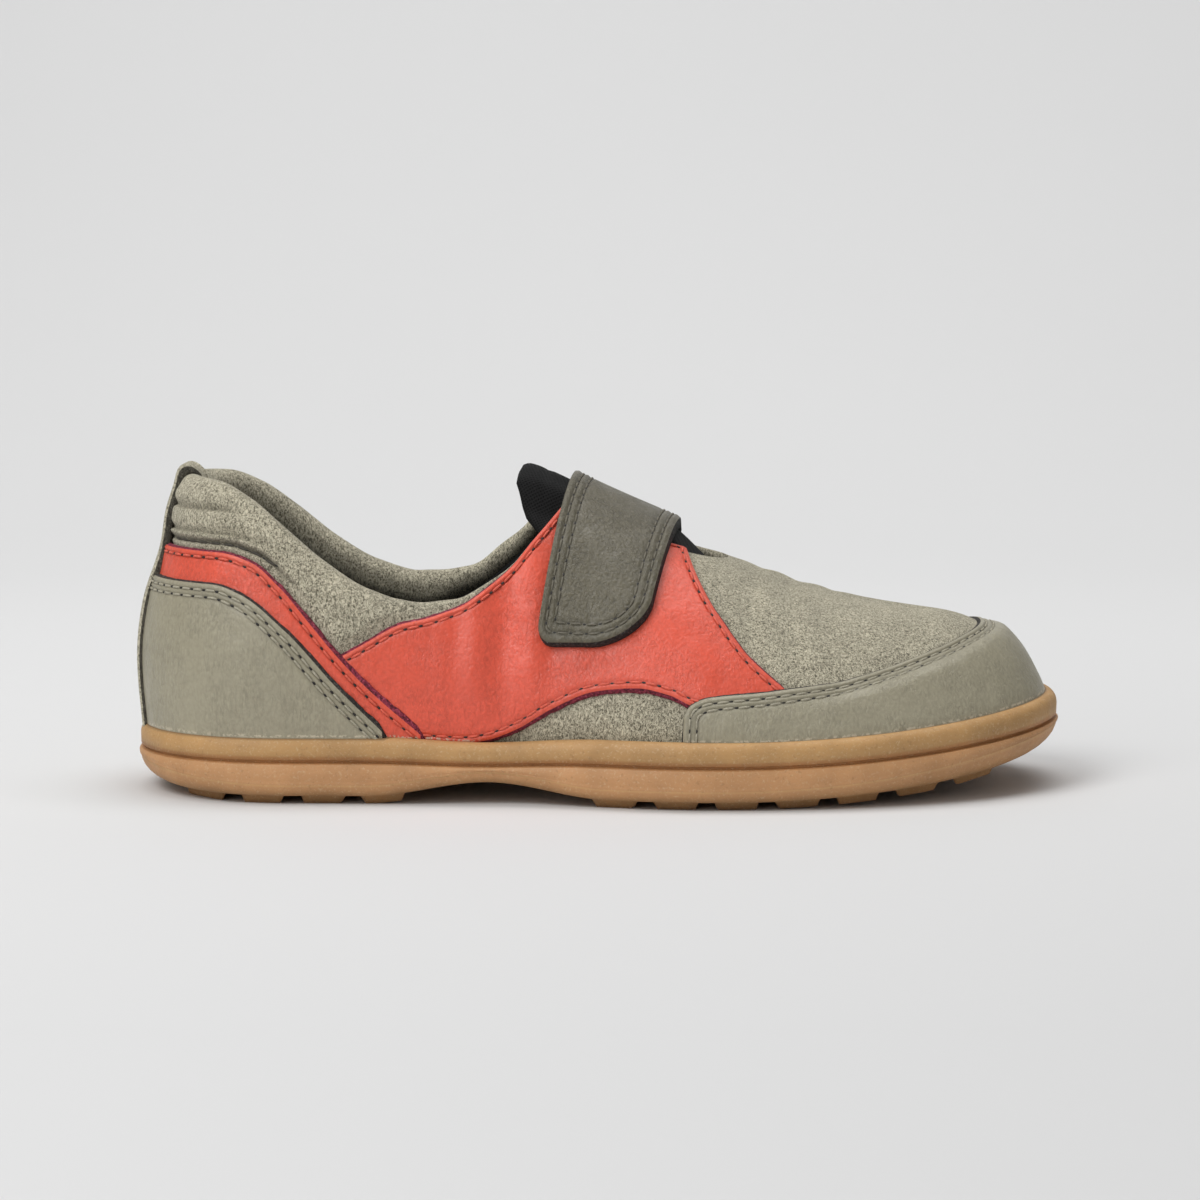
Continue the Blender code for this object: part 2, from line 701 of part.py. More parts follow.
def make_toe_cap(material):
    """Leather band round the toe, from one rear end over the tip to the other."""
    lateral = side_columns(LATERAL, CAP_REAR_X, SOLE_LENGTH)
    medial = side_columns(MEDIAL, CAP_REAR_X, SOLE_LENGTH)[-2::-1]
    places = np.concatenate([lateral, medial])
    side = np.concatenate([np.full(len(lateral), LATERAL), np.full(len(medial), MEDIAL)])
    low = theta_over_lip(side, places, LIP_CLEAR)
    high = theta_over_lip(side, places, column(CAP_EDGE, "rise", plan(side, places)[0]))
    make_side_overlay("toe_cap", side, places, low, high, CAP_OUT, 6, material)


def make_heel_strip(material):
    """Strip over the back seam from the sole to the top of the collar."""
    half = np.linspace(strip_place(), 3, 4)
    places = np.concatenate([half, half[-2::-1]])
    side = np.concatenate([np.full(4, LATERAL), np.full(3, MEDIAL)])
    low = theta_over_lip(side, places, LIP_CLEAR)
    share = np.linspace(0, 1, 10)[:, None]
    theta = low + (theta_top(side, places) - low) * share
    lift = collar_puff(side, places, theta)
    inner = form(side, places, theta, GAP + lift)
    outer = form(side, places, theta, STRIP_OUT + lift)
    make_layer("heel_strip", inner, outer, material)


def corner_rise(inset, radius):
    """Height of a rounded corner at a distance in from the straight edge."""
    left = np.clip(radius - inset, 0, radius)
    return radius - np.sqrt(radius**2 - left**2)


def make_strap(material):
    """Closing strap over the instep, anchored on the medial side, its rounded free end on the lateral side."""
    across = -np.cos(np.linspace(0, np.pi, 9)) / 2 * STRAP_WIDTH
    to_rear, to_front = across + STRAP_WIDTH / 2, STRAP_WIDTH / 2 - across
    free = STRAP_END_Z + np.maximum(
        corner_rise(to_rear, STRAP_REAR_RADIUS), corner_rise(to_front, STRAP_FRONT_RADIUS)
    )
    anchor = STRAP_ANCHOR_Z + np.maximum(
        corner_rise(to_rear, STRAP_ANCHOR_RADIUS), corner_rise(to_front, STRAP_ANCHOR_RADIUS)
    )
    rows = []
    for side, end, lean in ((LATERAL, free, STRAP_LEAN_LATERAL), (MEDIAL, anchor, STRAP_LEAN_MEDIAL)):
        start = theta_at_height(side, u_at_crest(STRAP_X + across - lean), end)
        for share in np.linspace(0, 1, 9):
            theta = start + (QUARTER_TURN - start) * share
            drop = (1 - np.sin(theta)) / (1 - np.sin(start.min()))
            rows.append((side, u_at_crest(STRAP_X + across - lean * drop), theta))
    rows = rows[:9] + rows[16:8:-1]
    inside = QUARTER_OUT + GAP
    inner = np.array([form(side, places, theta, inside) for side, places, theta in rows])
    outer = np.array([form(side, places, theta, inside + STRAP_THICK) for side, places, theta in rows])
    make_layer("strap", inner, outer, material)


def make_tongue(material):
    """Padded tongue under the vamp and the strap, puffed up into the throat, rounded at its top end."""
    along = np.linspace(TONGUE_FRONT_X, TONGUE_TOP_X, 14)
    near_top = np.clip((TONGUE_TOP_X + TONGUE_ROUND - along) / TONGUE_ROUND, 0, 1)
    half = TONGUE_HALF * np.sqrt(1 - TONGUE_TAPER * near_top**2)
    inner, outer = [], []
    for share in np.linspace(-1, 1, 11):
        side = LATERAL if share < 0 else MEDIAL
        width = np.abs(share) * half
        places = u_at_crest(along)
        theta = theta_at_width(side, places, width)
        puff = ease(THROAT_HALF - WALL, THROAT_HALF / 3, width)
        puff = puff * ease(BALL_X - WALL, BALL_X - THROAT_ROUND, along)
        grow = -(WALL + TONGUE_CLEAR) + TONGUE_PUFF * puff - TONGUE_DROOP * near_top**3
        outer.append(form(side, places, theta, grow))
        inner.append(form(side, places, theta, grow - TONGUE_THICK))
    make_layer("tongue", np.array(inner), np.array(outer), material)


def make_shoe():
    for old in list(bpy.data.objects):
        bpy.data.objects.remove(old, do_unlink=True)
    bpy.context.scene.collection.objects.link(bpy.data.objects.new("sneaker", None))
    stone = make_material("stone_leather", STONE_LEATHER, 0.5)
    red = make_material("red_leather", RED_LEATHER, 0.45)
    suede = make_material("stone_suede", STONE_SUEDE, 0.95)
    cloth = make_material("black_cloth", BLACK_CLOTH, 0.9)
    make_sole(make_material("gum_rubber", GUM_RUBBER, 0.6))
    make_insole(cloth)
    make_upper(suede)
    make_tongue(cloth)
    make_toe_cap(stone)
    make_heel_strip(suede)
    make_strap(make_material("strap_leather", STRAP_LEATHER, 0.45))
    for side, name in ((LATERAL, "lateral"), (MEDIAL, "medial")):
        make_counter(side, "counter_" + name, stone)
        make_stripe(side, "stripe_" + name, red)
        make_quarter(side, "quarter_" + name, red)


make_shoe()
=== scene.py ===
from collections import namedtuple

import bmesh
import bpy
import numpy as np
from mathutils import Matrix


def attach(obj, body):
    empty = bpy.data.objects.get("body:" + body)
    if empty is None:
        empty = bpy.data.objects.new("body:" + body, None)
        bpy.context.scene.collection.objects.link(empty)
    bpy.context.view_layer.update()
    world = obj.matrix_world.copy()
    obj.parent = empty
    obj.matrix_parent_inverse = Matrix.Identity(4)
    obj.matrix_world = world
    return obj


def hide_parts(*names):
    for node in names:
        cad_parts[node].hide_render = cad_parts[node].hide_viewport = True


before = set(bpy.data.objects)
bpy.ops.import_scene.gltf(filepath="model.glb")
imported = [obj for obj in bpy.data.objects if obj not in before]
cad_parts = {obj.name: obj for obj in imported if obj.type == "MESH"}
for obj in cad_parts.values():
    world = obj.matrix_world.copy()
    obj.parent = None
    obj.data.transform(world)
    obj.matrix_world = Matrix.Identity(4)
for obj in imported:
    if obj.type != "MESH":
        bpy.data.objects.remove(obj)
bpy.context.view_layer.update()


# Outsole: one moulded cup of gum rubber with a thick waxy lip, a narrow groove under it, a slightly
# rounded sidewall and two rows of tread bars. The upper is glued into the cup.
# Sizes are millimetres: x from the back of the heel, y towards the medial side, z up from the floor.
LATERAL, MEDIAL = -1, 1
QUARTER_TURN = np.pi / 2
SOLE_LENGTH, SOLE_RIM = 150.0, 3.6
BALL_HALF, HEEL_HALF, HEEL_POWER = 33.0, 25.5, 2.15
SPRING_X, SPRING_RISE = 95.0, 5.0
ARCH_X, ARCH_HALF = 57.0, 19.0
LIP_POWER, LIP_MIDDLE, LIP_HALF, LIP_DROP = 2.3, 1.75, 1.85, 1.9
GROOVE_HALF, GROOVE_DEPTH = 0.34, 0.7
WALL_INSET, WALL_BOW, BEAD = 0.05, 0.28, 0.16
EDGE_INSET, TOE_INSET, HEEL_INSET = 1.6, 5.2, 4.8
EDGE_RISE, END_RISE = 1.8, 2.5
LIP_ROWS, GROOVE_ROWS, WALL_ROWS, UNDER_ROWS = 28, 13, 13, 8
LUG_DEPTH, LUG_LENGTH, LUG_PITCH = 1.3, 6.6, 9.6
LUG_STARTS = [8.5 + LUG_PITCH * n for n in range(4)] + [74.0 + LUG_PITCH * n for n in range(7)]
LIP_GUM = (0.465, 0.268, 0.106, 1)
GROOVE_GUM = (0.430, 0.210, 0.080, 1)
SIDE_GUM = (0.510, 0.270, 0.120, 1)
# The bead's pale colour is partly wear, partly painted highlight.
BEAD_WEAR_AND_HIGHLIGHT = (0.570, 0.335, 0.145, 1)
TREAD_GUM = (0.390, 0.208, 0.084, 1)
# The last colour on the next line darkens the lip where the upper sits on it: partly dust, partly painted
# shade.
PALE_SPECK, DARK_PIT, SEAT_DUST_AND_SHADE = (0.62, 0.47, 0.29, 1), (0.24, 0.12, 0.05, 1), (0.13, 0.08, 0.04, 1)
Level = namedtuple("Level", "z arch")
BOTTOM, FLOOR, GROOVE, LIP = Level(LUG_DEPTH, 2.3), Level(4.7, 0.8), Level(6.9, -0.45), Level(10.6, -0.9)
Seat = namedtuple("Seat", "x reach")
SEATS = [
    Seat(0, 2.8), Seat(41, 2.75), Seat(42.5, 1.7), Seat(46.5, 1.65), Seat(48, 0.95), Seat(57, 1.35),
    Seat(59, 0.35), Seat(87.6, 0.4), Seat(88.6, 1.95), Seat(120, 1.9), Seat(140, 1.75), Seat(150, 1.65),
]
Sheet = namedtuple("Sheet", "points wrap keep marks", defaults=(False, None, {}))


def ease(start, end, x):
    """Rises from 0 at start to 1 at end along a cubic with level ends."""
    f = np.clip((x - start) / (end - start), 0.0, 1.0)
    return f * f * (3 - 2 * f)


def bell(x, middle, width):
    """1 at the middle, falling off to both sides as a bell curve of this width."""
    return np.exp(-(((x - middle) / width) ** 2))


def on_side(side, lateral, medial):
    """The lateral or the medial value, as side says."""
    return np.where(np.asarray(side) < 0, lateral, medial)


def plan(side, u):
    """Foot outline inside the rim: a quarter superellipse round the toe for u from 0 to 1, a waisted
    side to 2 and a quarter superellipse round the heel to 3."""
    side, u = np.broadcast_arrays(np.asarray(side, float), np.asarray(u, float))
    ball_x, heel_x, tip_y, waist_share = on_side(side, 92.0, 100.0), 26.0, 4.0, 0.52
    power = on_side(side, 2.15, 2.7)
    ball_y, heel_y = side * (BALL_HALF - SOLE_RIM), side * (HEEL_HALF - SOLE_RIM)
    waist_y = side * (on_side(side, 26.2, 23.6) - SOLE_RIM)
    toe = np.clip(u, 0, 1) * QUARTER_TURN
    toe_x = ball_x + (SOLE_LENGTH - SOLE_RIM - ball_x) * np.cos(toe) ** (2 / power)
    toe_y = tip_y + (ball_y - tip_y) * np.sin(toe) ** (2 / power)
    along = np.clip(u - 1, 0, 1)
    fore = waist_y + (ball_y - waist_y) * ease(waist_share, 0, along)
    rear = waist_y + (heel_y - waist_y) * ease(waist_share, 1, along)
    heel = np.clip(3 - u, 0, 1) * QUARTER_TURN
    round_x = heel_x - (heel_x - SOLE_RIM) * np.cos(heel) ** (2 / HEEL_POWER)
    round_y = heel_y * np.sin(heel) ** (2 / HEEL_POWER)
    side_y = np.where(along < waist_share, fore, rear)
    x = np.where(u < 1, toe_x, np.where(u < 2, ball_x + (heel_x - ball_x) * along, round_x))
    return x, np.where(u < 1, toe_y, np.where(u < 2, side_y, round_y))


def plan_normal(side, u):
    """Unit vector in plan that points out of the outline."""
    nudge = 1e-3
    ahead, behind = plan(side, np.clip(u + nudge, 0, 3)), plan(side, np.clip(u - nudge, 0, 3))
    along_x, along_y = ahead[0] - behind[0], ahead[1] - behind[1]
    length = np.hypot(along_x, along_y)
    return side * along_y / length, -side * along_x / length


def spring(x):
    """How far the sole curls up towards the toe, by the square of the way past the ball."""
    return SPRING_RISE * np.clip((x - SPRING_X) / (SOLE_LENGTH - SPRING_X), 0, 1) ** 2


def level_z(level, x):
    """Height of a level of the sole: it rises with the toe spring and shifts in the arch."""
    return level.z + spring(x) + level.arch * ease(ARCH_HALF, 0, np.abs(x - ARCH_X))


def beside(side, u, out, z):
    """Points at a distance outside the outline, at given heights."""
    x, y = plan(side, u)
    out_x, out_y = plan_normal(side, u)
    return np.stack(np.broadcast_arrays(x + out * out_x, y + out * out_y, z), axis=-1)


def run_length(points):
    """Length along a line from its first point to each point."""
    return np.concatenate([[0], np.cumsum(np.linalg.norm(np.diff(points, axis=0), axis=1))])


def rib_places(toe, flank, heel, crowding=1.0):
    """Places along the outline at even lengths in each stretch; crowding packs them behind the ball."""
    dense = np.linspace(0, 3, 6001)
    length = sum(run_length(np.stack(plan(side, dense), axis=-1)) for side in (LATERAL, MEDIAL))
    ends = np.interp([0, 1, 2, 3], dense, length)
    shares = [np.linspace(0, 1, count + 1) for count in (toe, flank, heel)]
    shares[1] = shares[1] ** crowding
    wanted = [ends[k] + (ends[k + 1] - ends[k]) * share for k, share in enumerate(shares)]
    places = np.interp(np.concatenate([wanted[0], wanted[1][1:], wanted[2][1:]]), length, dense)
    places[[toe, toe + flank]] = 1.0, 2.0
    return places


def both_sides(lateral, medial):
    """Side and place of each column along the lateral side and then back along the medial side, where
    both end at the same point."""
    side = np.concatenate([np.full(len(lateral), LATERAL), np.full(len(medial) - 1, MEDIAL)])
    return side, np.concatenate([lateral, medial[-2::-1]])


def rungs(points, across):
    """Grid between the lateral and the medial half of a ring, straight across."""
    half = len(points) // 2 + 1
    medial = np.concatenate([points[:1], points[: half - 1 : -1], points[half - 1 : half]])
    share = np.linspace(0, 1, across)[:, None, None]
    return points[:half] + (medial - points[:half]) * share


def grid_faces(rows, columns, wrap):
    """Corner numbers of the quads of a grid; wrap joins the last column to the first."""
    j, i = np.meshgrid(np.arange(rows - 1), np.arange(columns if wrap else columns - 1), indexing="ij")
    k = (i + 1) % columns
    corners = [j * columns + i, j * columns + k, (j + 1) * columns + k, (j + 1) * columns + i]
    return np.stack(corners, axis=-1).reshape(-1, 4)


def put_in_scene(name, data):
    """A new object that holds this mesh, light or camera."""
    thing = bpy.data.objects.new(name, data)
    bpy.context.scene.collection.objects.link(thing)
    return thing


def make_piece(name, sheets, material, node=None):
    """One welded piece from sheets of grid points, or of stacks of equal grids, that rides on the shoe.

    A sheet's marks become point attributes that its material reads. Its keep tells which columns of quads
    stay.
    """
    points, faces, start = [], [], 0
    marks = {key: [] for sheet in sheets for key in sheet.marks}
    for sheet in sheets:
        grids = sheet.points.reshape(-1, *sheet.points.shape[-3:])
        count, rows, columns = grids.shape[:3]
        quads = grid_faces(rows, columns, sheet.wrap)
        if sheet.keep is not None:
            quads = quads[sheet.keep[quads[:, 0] % columns]]
        offset = start + rows * columns * np.arange(count)[:, None, None]
        faces.append((offset + quads).reshape(-1, 4))
        points.append(grids.reshape(-1, 3))
        for key, values in marks.items():
            values.append(np.broadcast_to(sheet.marks.get(key, 0.0), (count, rows, columns)).ravel())
        start += count * rows * columns
    place = (np.concatenate(points) - (SOLE_LENGTH / 2, 0, 0)) * 0.001
    corners = np.concatenate(faces).astype(np.int32)
    mesh = bpy.data.meshes.new(name)
    mesh.vertices.add(len(place))
    mesh.vertices.foreach_set("co", place.astype(np.float32).ravel())
    mesh.loops.add(corners.size)
    mesh.loops.foreach_set("vertex_index", corners.ravel())
    mesh.polygons.add(len(corners))
    mesh.polygons.foreach_set("loop_start", np.arange(0, corners.size, 4, dtype=np.int32))
    for key, values in marks.items():
        attribute = mesh.attributes.new(key, "FLOAT", "POINT")
        attribute.data.foreach_set("value", np.concatenate(values).astype(np.float32))
    mesh.update(calc_edges=True)
    bm = bmesh.new()
    bm.from_mesh(mesh)
    bmesh.ops.remove_doubles(bm, verts=bm.verts, dist=2e-6)
    bmesh.ops.recalc_face_normals(bm, faces=bm.faces)
    bm.to_mesh(mesh)
    bm.free()
    mesh.shade_smooth()
    mesh.materials.append(material)
    piece = put_in_scene(name, mesh)
    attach(piece, "root")
    if node:
        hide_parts(node)
    return piece


def sole_rows(side, u):
    """Profile carried round the outline, as distance out and height: a superellipse lip, a half-ellipse
    groove, a bowed sidewall with a bead at its foot and a quarter-ellipse lower edge. Also each row's band
    and how near each point of the lip lies to the upper that sits on it."""
    x = plan(side, u)[0]
    turn = np.radians(np.linspace(150, 0, LIP_ROWS))[:, None]
    lip_out = LIP_MIDDLE + LIP_HALF * np.sign(np.cos(turn)) * np.abs(np.cos(turn)) ** (2 / LIP_POWER)
    lip = level_z(LIP, x) - LIP_DROP + (LIP_DROP + 0.2) * np.abs(np.sin(turn)) ** (2 / LIP_POWER)
    share = np.linspace(1, -1, GROOVE_ROWS)[:, None]
    groove_out = SOLE_RIM - WALL_INSET - GROOVE_DEPTH * (1 - share**2) ** 0.6
    groove = level_z(GROOVE, x) + GROOVE_HALF * share
    toe, heel = (np.cos(np.clip(way, 0, 1) * QUARTER_TURN) ** 2 for way in (u, 3 - u))
    inset = EDGE_INSET + TOE_INSET * toe + HEEL_INSET * heel
    rise = EDGE_RISE + END_RISE * (toe + heel)
    down = np.linspace(0, 1, WALL_ROWS + 1)[1:, None]
    wall_out = SOLE_RIM - WALL_INSET + WALL_INSET * down + WALL_BOW * np.sin(np.pi * down)
    wall_out = wall_out + BEAD * bell(down, 0.94, 0.06)
    edge_z = level_z(BOTTOM, beside(side, u, SOLE_RIM, 0.0)[..., 0]) + rise
    wall = groove[-1] + (edge_z - groove[-1]) * down
    under = np.linspace(0, QUARTER_TURN, UNDER_ROWS + 1)[1:, None]
    under_out = SOLE_RIM - inset * (1 - np.cos(under))
    under_z = level_z(BOTTOM, beside(side, u, under_out, 0.0)[..., 0]) + rise * (1 - np.sin(under))
    full = [np.broadcast_to(out, (len(out), len(u))) for out in (lip_out, groove_out, wall_out, under_out)]
    points = beside(side, u, np.concatenate(full), np.concatenate([lip, groove, wall, under_z]))
    bands = [np.zeros(LIP_ROWS), np.ones(GROOVE_ROWS), np.full(WALL_ROWS - 1, 2.0), [2.2]]
    band = np.concatenate(bands + [np.linspace(2.45, 3, UNDER_ROWS)])[:, None]
    reach = np.interp(x, [row.x for row in SEATS], [row.reach for row in SEATS])
    seat = 1 - np.clip((full[0] - reach) / 0.5, 0, 1)
    return points, band, np.concatenate([seat, np.zeros((len(band) - LIP_ROWS, len(u)))])


def tread(foot, across):
    """Bottom between the edges: a smooth height field with bars that drop by the lug depth."""
    grid = rungs(foot, across)
    width = np.linalg.norm(grid[-1] - grid[0], axis=-1)
    share = np.linspace(0, 1, across)[:, None]
    block = ease(0.3, 0.9, np.minimum(share, 1 - share) * width) * ease(0.9, 1.5, np.abs(share - 0.5) * width)
    x = grid[..., 0]
    bars = 0.0
    for start in LUG_STARTS:
        end = start + LUG_LENGTH
        bars = bars + ease(start - 0.25, start + 0.3, x) * ease(end + 0.25, end - 0.3, x)
    grid[..., 2] = level_z(BOTTOM, x) - LUG_DEPTH * block * bars
    return grid


def start_material(name):
    """A new material with its node tree and its shader."""
    material = bpy.data.materials.new(name)
    material.use_nodes = True
    return material, material.node_tree, material.node_tree.nodes["Principled BSDF"]


def connect(tree, node, inputs):
    """Gives each input of a node a value or another node's output."""
    for key, value in inputs.items():
        if isinstance(value, bpy.types.NodeSocket):
            tree.links.new(value, node.inputs[key])
        else:
            node.inputs[key].default_value = value


def add(tree, kind, inputs, **settings):
    """A node of this kind with its settings and inputs."""
    node = tree.nodes.new("ShaderNode" + kind)
    for key, value in settings.items():
        setattr(node, key, value)
    connect(tree, node, inputs)
    return node


def object_place(tree, stretch=(1, 1, 1), turn=(0, 0, 0)):
    """Object coordinates, stretched by a factor along each axis and turned."""
    place = add(tree, "TexCoord", {}).outputs["Object"]
    return add(tree, "Mapping", {"Vector": place, "Scale": stretch, "Rotation": turn}).outputs[0]


def noise(tree, place, size, detail=3.0, rough=0.55, bend=0.0):
    """Cloudy noise from 0 to 1 with features of about this size in millimetres."""
    inputs = {"Vector": place, "Scale": 1000 / size, "Detail": detail, "Roughness": rough, "Distortion": bend}
    return add(tree, "TexNoise", inputs).outputs[0]


def grey(value):
    """A grey of this lightness."""
    return (value, value, value, 1)


def ramp(tree, factor, *stops):
    """Colour ramp through stops of a position and a colour, or a number for a grey."""
    node = add(tree, "ValToRGB", {"Fac": factor})
    points = node.color_ramp.elements
    while len(points) < len(stops):
        points.new(1.0)
    for point, (position, colour) in zip(points, stops):
        point.position = position
        point.color = colour if isinstance(colour, tuple) else grey(colour)
    return node.outputs[0]


def mix(tree, factor, first, second, way="MIX"):
    """Second colour over the first, by a factor."""
    return add(tree, "Mix", {0: factor, 6: first, 7: second}, data_type="RGBA", blend_type=way).outputs[2]


def mottled(tree, colour, factor, low, high):
    """A colour times a grey that runs from one stop to another as the factor rises."""
    return mix(tree, 1.0, colour, ramp(tree, factor, low, high), "MULTIPLY")


def flecked(tree, colour, factor, low, high, fleck):
    """A colour with a second one over it, by a share that runs from one stop of the factor to another."""
    return mix(tree, ramp(tree, factor, low, high), colour, fleck)


def combine(tree, way, first, second):
    """Two numbers combined by a Math node."""
    return add(tree, "Math", {0: first, 1: second}, operation=way).outputs[0]


def mark(tree, name):
    """Point attribute of the piece."""
    return add(tree, "Attribute", {}, attribute_name=name).outputs["Fac"]


def bumps(tree, *layers):
    """Normal from layers of height and depth in millimetres, one on top of the other."""
    below = {}
    for height, depth in layers:
        inputs = {"Height": height, "Distance": depth * 0.001, "Strength": 1.0, **below}
        below = {"Normal": add(tree, "Bump", inputs).outputs[0]}
    return below["Normal"]


def gum_rubber():
    """Gum rubber: colour by band of the sole, pale speckle, dark pits, dust and painted shade where the upper
    sits, matte wax.
    """
    material, tree, shader = start_material("gum_rubber")
    place = object_place(tree)
    lip_and_groove = [(0.0, LIP_GUM), (0.18, LIP_GUM), (0.26, GROOVE_GUM), (0.42, GROOVE_GUM)]
    # The pale line at the bead is partly wear, partly painted highlight.
    wall = [(0.56, SIDE_GUM), (0.68, SIDE_GUM), (0.73, BEAD_WEAR_AND_HIGHLIGHT), (0.80, SIDE_GUM)]
    band = combine(tree, "DIVIDE", mark(tree, "band"), 3.0)
    colour = ramp(tree, band, *lip_and_groove, *wall, (0.95, TREAD_GUM))
    colour = mottled(tree, colour, noise(tree, place, 7, 4), (0.3, 0.86), (0.7, 1.1))
    colour = flecked(tree, colour, noise(tree, place, 0.4, 2), (0.56, 0), (0.74, 0.4), PALE_SPECK)
    colour = flecked(tree, colour, noise(tree, place, 0.6, 1), (0.25, 0.3), (0.36, 0), DARK_PIT)
    # Dust and painted shade darken the lip where the upper sits on it.
    colour = flecked(tree, colour, mark(tree, "seat"), (0.2, 0), (0.9, 0.7), SEAT_DUST_AND_SHADE)
    connect(tree, shader, {
        "Base Color": colour,
        "Roughness": ramp(tree, noise(tree, place, 3, 3), (0.3, 0.5), (0.7, 0.68)),
        "Normal": bumps(tree, (noise(tree, place, 0.6, 3), 0.05), (noise(tree, place, 6, 2), 0.25)),
        "Specular IOR Level": 0.42,
        "Subsurface Weight": 0.06,
        "Subsurface Radius": (0.002, 0.001, 0.0005),
    })
    return material


sole_places = rib_places(120, 130, 64)
sole_side, sole_u = both_sides(sole_places, sole_places[1:])
sole_points, sole_band, sole_seat = sole_rows(sole_side, sole_u)
cup_floor = beside(sole_side, sole_u, -0.3, level_z(FLOOR, plan(sole_side, sole_u)[0]))
make_piece(
    "cup_sole",
    [
        Sheet(sole_points, True, marks={"band": sole_band, "seat": sole_seat}),
        Sheet(np.stack([cup_floor, sole_points[0]]), True, marks={"band": 2.0, "seat": 1.0}),
        Sheet(rungs(cup_floor, 2), marks={"band": 3.0}),
        Sheet(tread(sole_points[-1], 49), marks={"band": 3.0}),
    ],
    gum_rubber(), "outsole",
)


# Upper: a lasted shell of stone-grey suede with a padded collar, open at the foot opening and below.
# The collar is quilted by a sewn channel over the red stripe, a narrow rib above it and a crease
# between two wide lobes. The vamp keeps the soft folds of walking. Black cloth lines it.
GAP = 0.3
WALL, COLLAR_PAD, PAD_FULL_X, PAD_END_X = 1.8, 2.6, 46, 56
BALL_X = 96.0
THROAT_HALF, THROAT_ROUND = 9.0, 10.0
CREST_REAR_X, CREST_FRONT_X, CREST_ROUND = 34, 112, 16
FOOT_TURN = 0.1
CHANNEL_RISE, FURROW_RISE, CREASE_RISE, PUFF = 1.9, 3.4, 7.1, 1.15
SUEDE_BAND = 2.5
STITCH_PITCH, STITCH_GAP, STITCH_THICK, STITCH_SINK = 2.5, 0.36, 0.42, 0.10
HOLE_LONG, HOLE_WIDE, HOLE_DEEP = 0.34, 0.20, 0.10
LIGHT_NAP, DARK_NAP = (0.625, 0.577, 0.438, 1), (0.108, 0.097, 0.068, 1)
# The first colour on the next line is painted shade for the collar's channel, furrow and crease.
CHANNEL_PAINTED_SHADE, RAW_SUEDE, NAP_SHEEN = (0.050, 0.044, 0.030, 1), (0.022, 0.020, 0.017, 1), (0.80, 0.77, 0.66, 1)
Section = namedtuple("Section", "x crest_z crest_y flank bulge")
SECTIONS = [
    Section(18, 77.0, 0.0, 2.15, 1.5),
    Section(34, 73.0, 0.4, 2.15, 1.3),
    Section(48, 63.5, 1.0, 2.10, 1.0),
    Section(60, 54.5, 1.6, 2.05, 0.9),
    Section(72, 47.5, 2.2, 2.05, 0.8),
    Section(85, 41.5, 2.8, 2.10, 0.7),
    Section(98, 36.0, 3.4, 2.25, 0.6),
    Section(112, 31.2, 3.8, 2.40, 0.5),
    Section(128, 27.8, 4.0, 2.50, 0.4),
]
Height = namedtuple("Height", "x lateral medial")
COLLAR = [
    Height(0, 50.0, 50.0), Height(10, 49.4, 49.4), Height(17, 47.0, 47.2), Height(24, 42.4, 43.0),
    Height(31, 36.8, 37.8), Height(38, 32.4, 33.8), Height(46, 30.2, 31.8), Height(53, 31.8, 33.2),
    Height(60, 37.0, 38.0), Height(68, 46.0, 46.5), Height(80, 62.0, 62.0),
]
Edge = namedtuple("Edge", "x rise")
STRIPE_EDGE = [
    Edge(0, 28.4), Edge(14, 28.2), Edge(19.5, 26.8), Edge(24, 23.2),
    Edge(29, 17.6), Edge(34, 11.9), Edge(39.5, 6.4), Edge(47.5, 0),
]
QUARTER_TOP = [Edge(34, 12.6), Edge(38, 14.8), Edge(43, 17.8), Edge(48, 20.6), Edge(56, 30.0), Edge(62, 45.0)]
Fold = namedtuple("Fold", "x lean depth width low high")
FOLDS = [
    Fold(100.5, 4, 0.17, 1.4, 0.42, 1.0),
    Fold(106.0, 7, 0.24, 1.8, 0.36, 1.0),
    Fold(112.0, 5, 0.12, 1.3, 0.50, 1.0),
    Fold(63.0, -2, 0.55, 2.6, 0.16, 0.55),
    Fold(69.5, 1, 0.30, 2.0, 0.20, 0.50),
    Fold(56.0, -3, 0.22, 1.6, 0.15, 0.35),
]


def through(xs, ys, x):
    """Value at x of cubic pieces through the points (xs, ys), with the harmonic mean of the slopes beside
    a point as the slope at it, so that the curve never swings past them."""
    xs, ys = np.asarray(xs, float), np.asarray(ys, float)
    step = np.diff(xs)
    slope = np.diff(ys) / step
    before, after = slope[:-1], slope[1:]
    same_way = before * after > 0
    total = np.where(same_way, before + after, 1.0)
    lean = np.concatenate([slope[:1], np.where(same_way, 2 * before * after / total, 0.0), slope[-1:]])
    i = np.clip(np.searchsorted(xs, x) - 1, 0, len(step) - 1)
    f = np.clip((x - xs[i]) / step[i], 0.0, 1.0)
    start = ys[i] * (1 + 2 * f) * (1 - f) ** 2 + lean[i] * step[i] * f * (1 - f) ** 2
    return start + ys[i + 1] * f**2 * (3 - 2 * f) - lean[i + 1] * step[i] * f**2 * (1 - f)


def column(table, name, x):
    """One named column of a table, read smoothly at x."""
    return through([row.x for row in table], [getattr(row, name) for row in table], x)


def crest(u):
    """Line along the top of the foot where the ribs of both sides meet; its x settles towards both ends."""
    middle = (plan(LATERAL, u)[0] + plan(MEDIAL, u)[0]) / 2
    fore, rear = np.maximum(middle - CREST_FRONT_X, 0), np.maximum(CREST_REAR_X - middle, 0)
    x = np.clip(middle, CREST_REAR_X, CREST_FRONT_X) + CREST_ROUND * (1 - np.exp(-fore / CREST_ROUND))
    x = x - CREST_ROUND * (1 - np.exp(-rear / CREST_ROUND))
    return x, column(SECTIONS, "crest_y", x), column(SECTIONS, "crest_z", x)


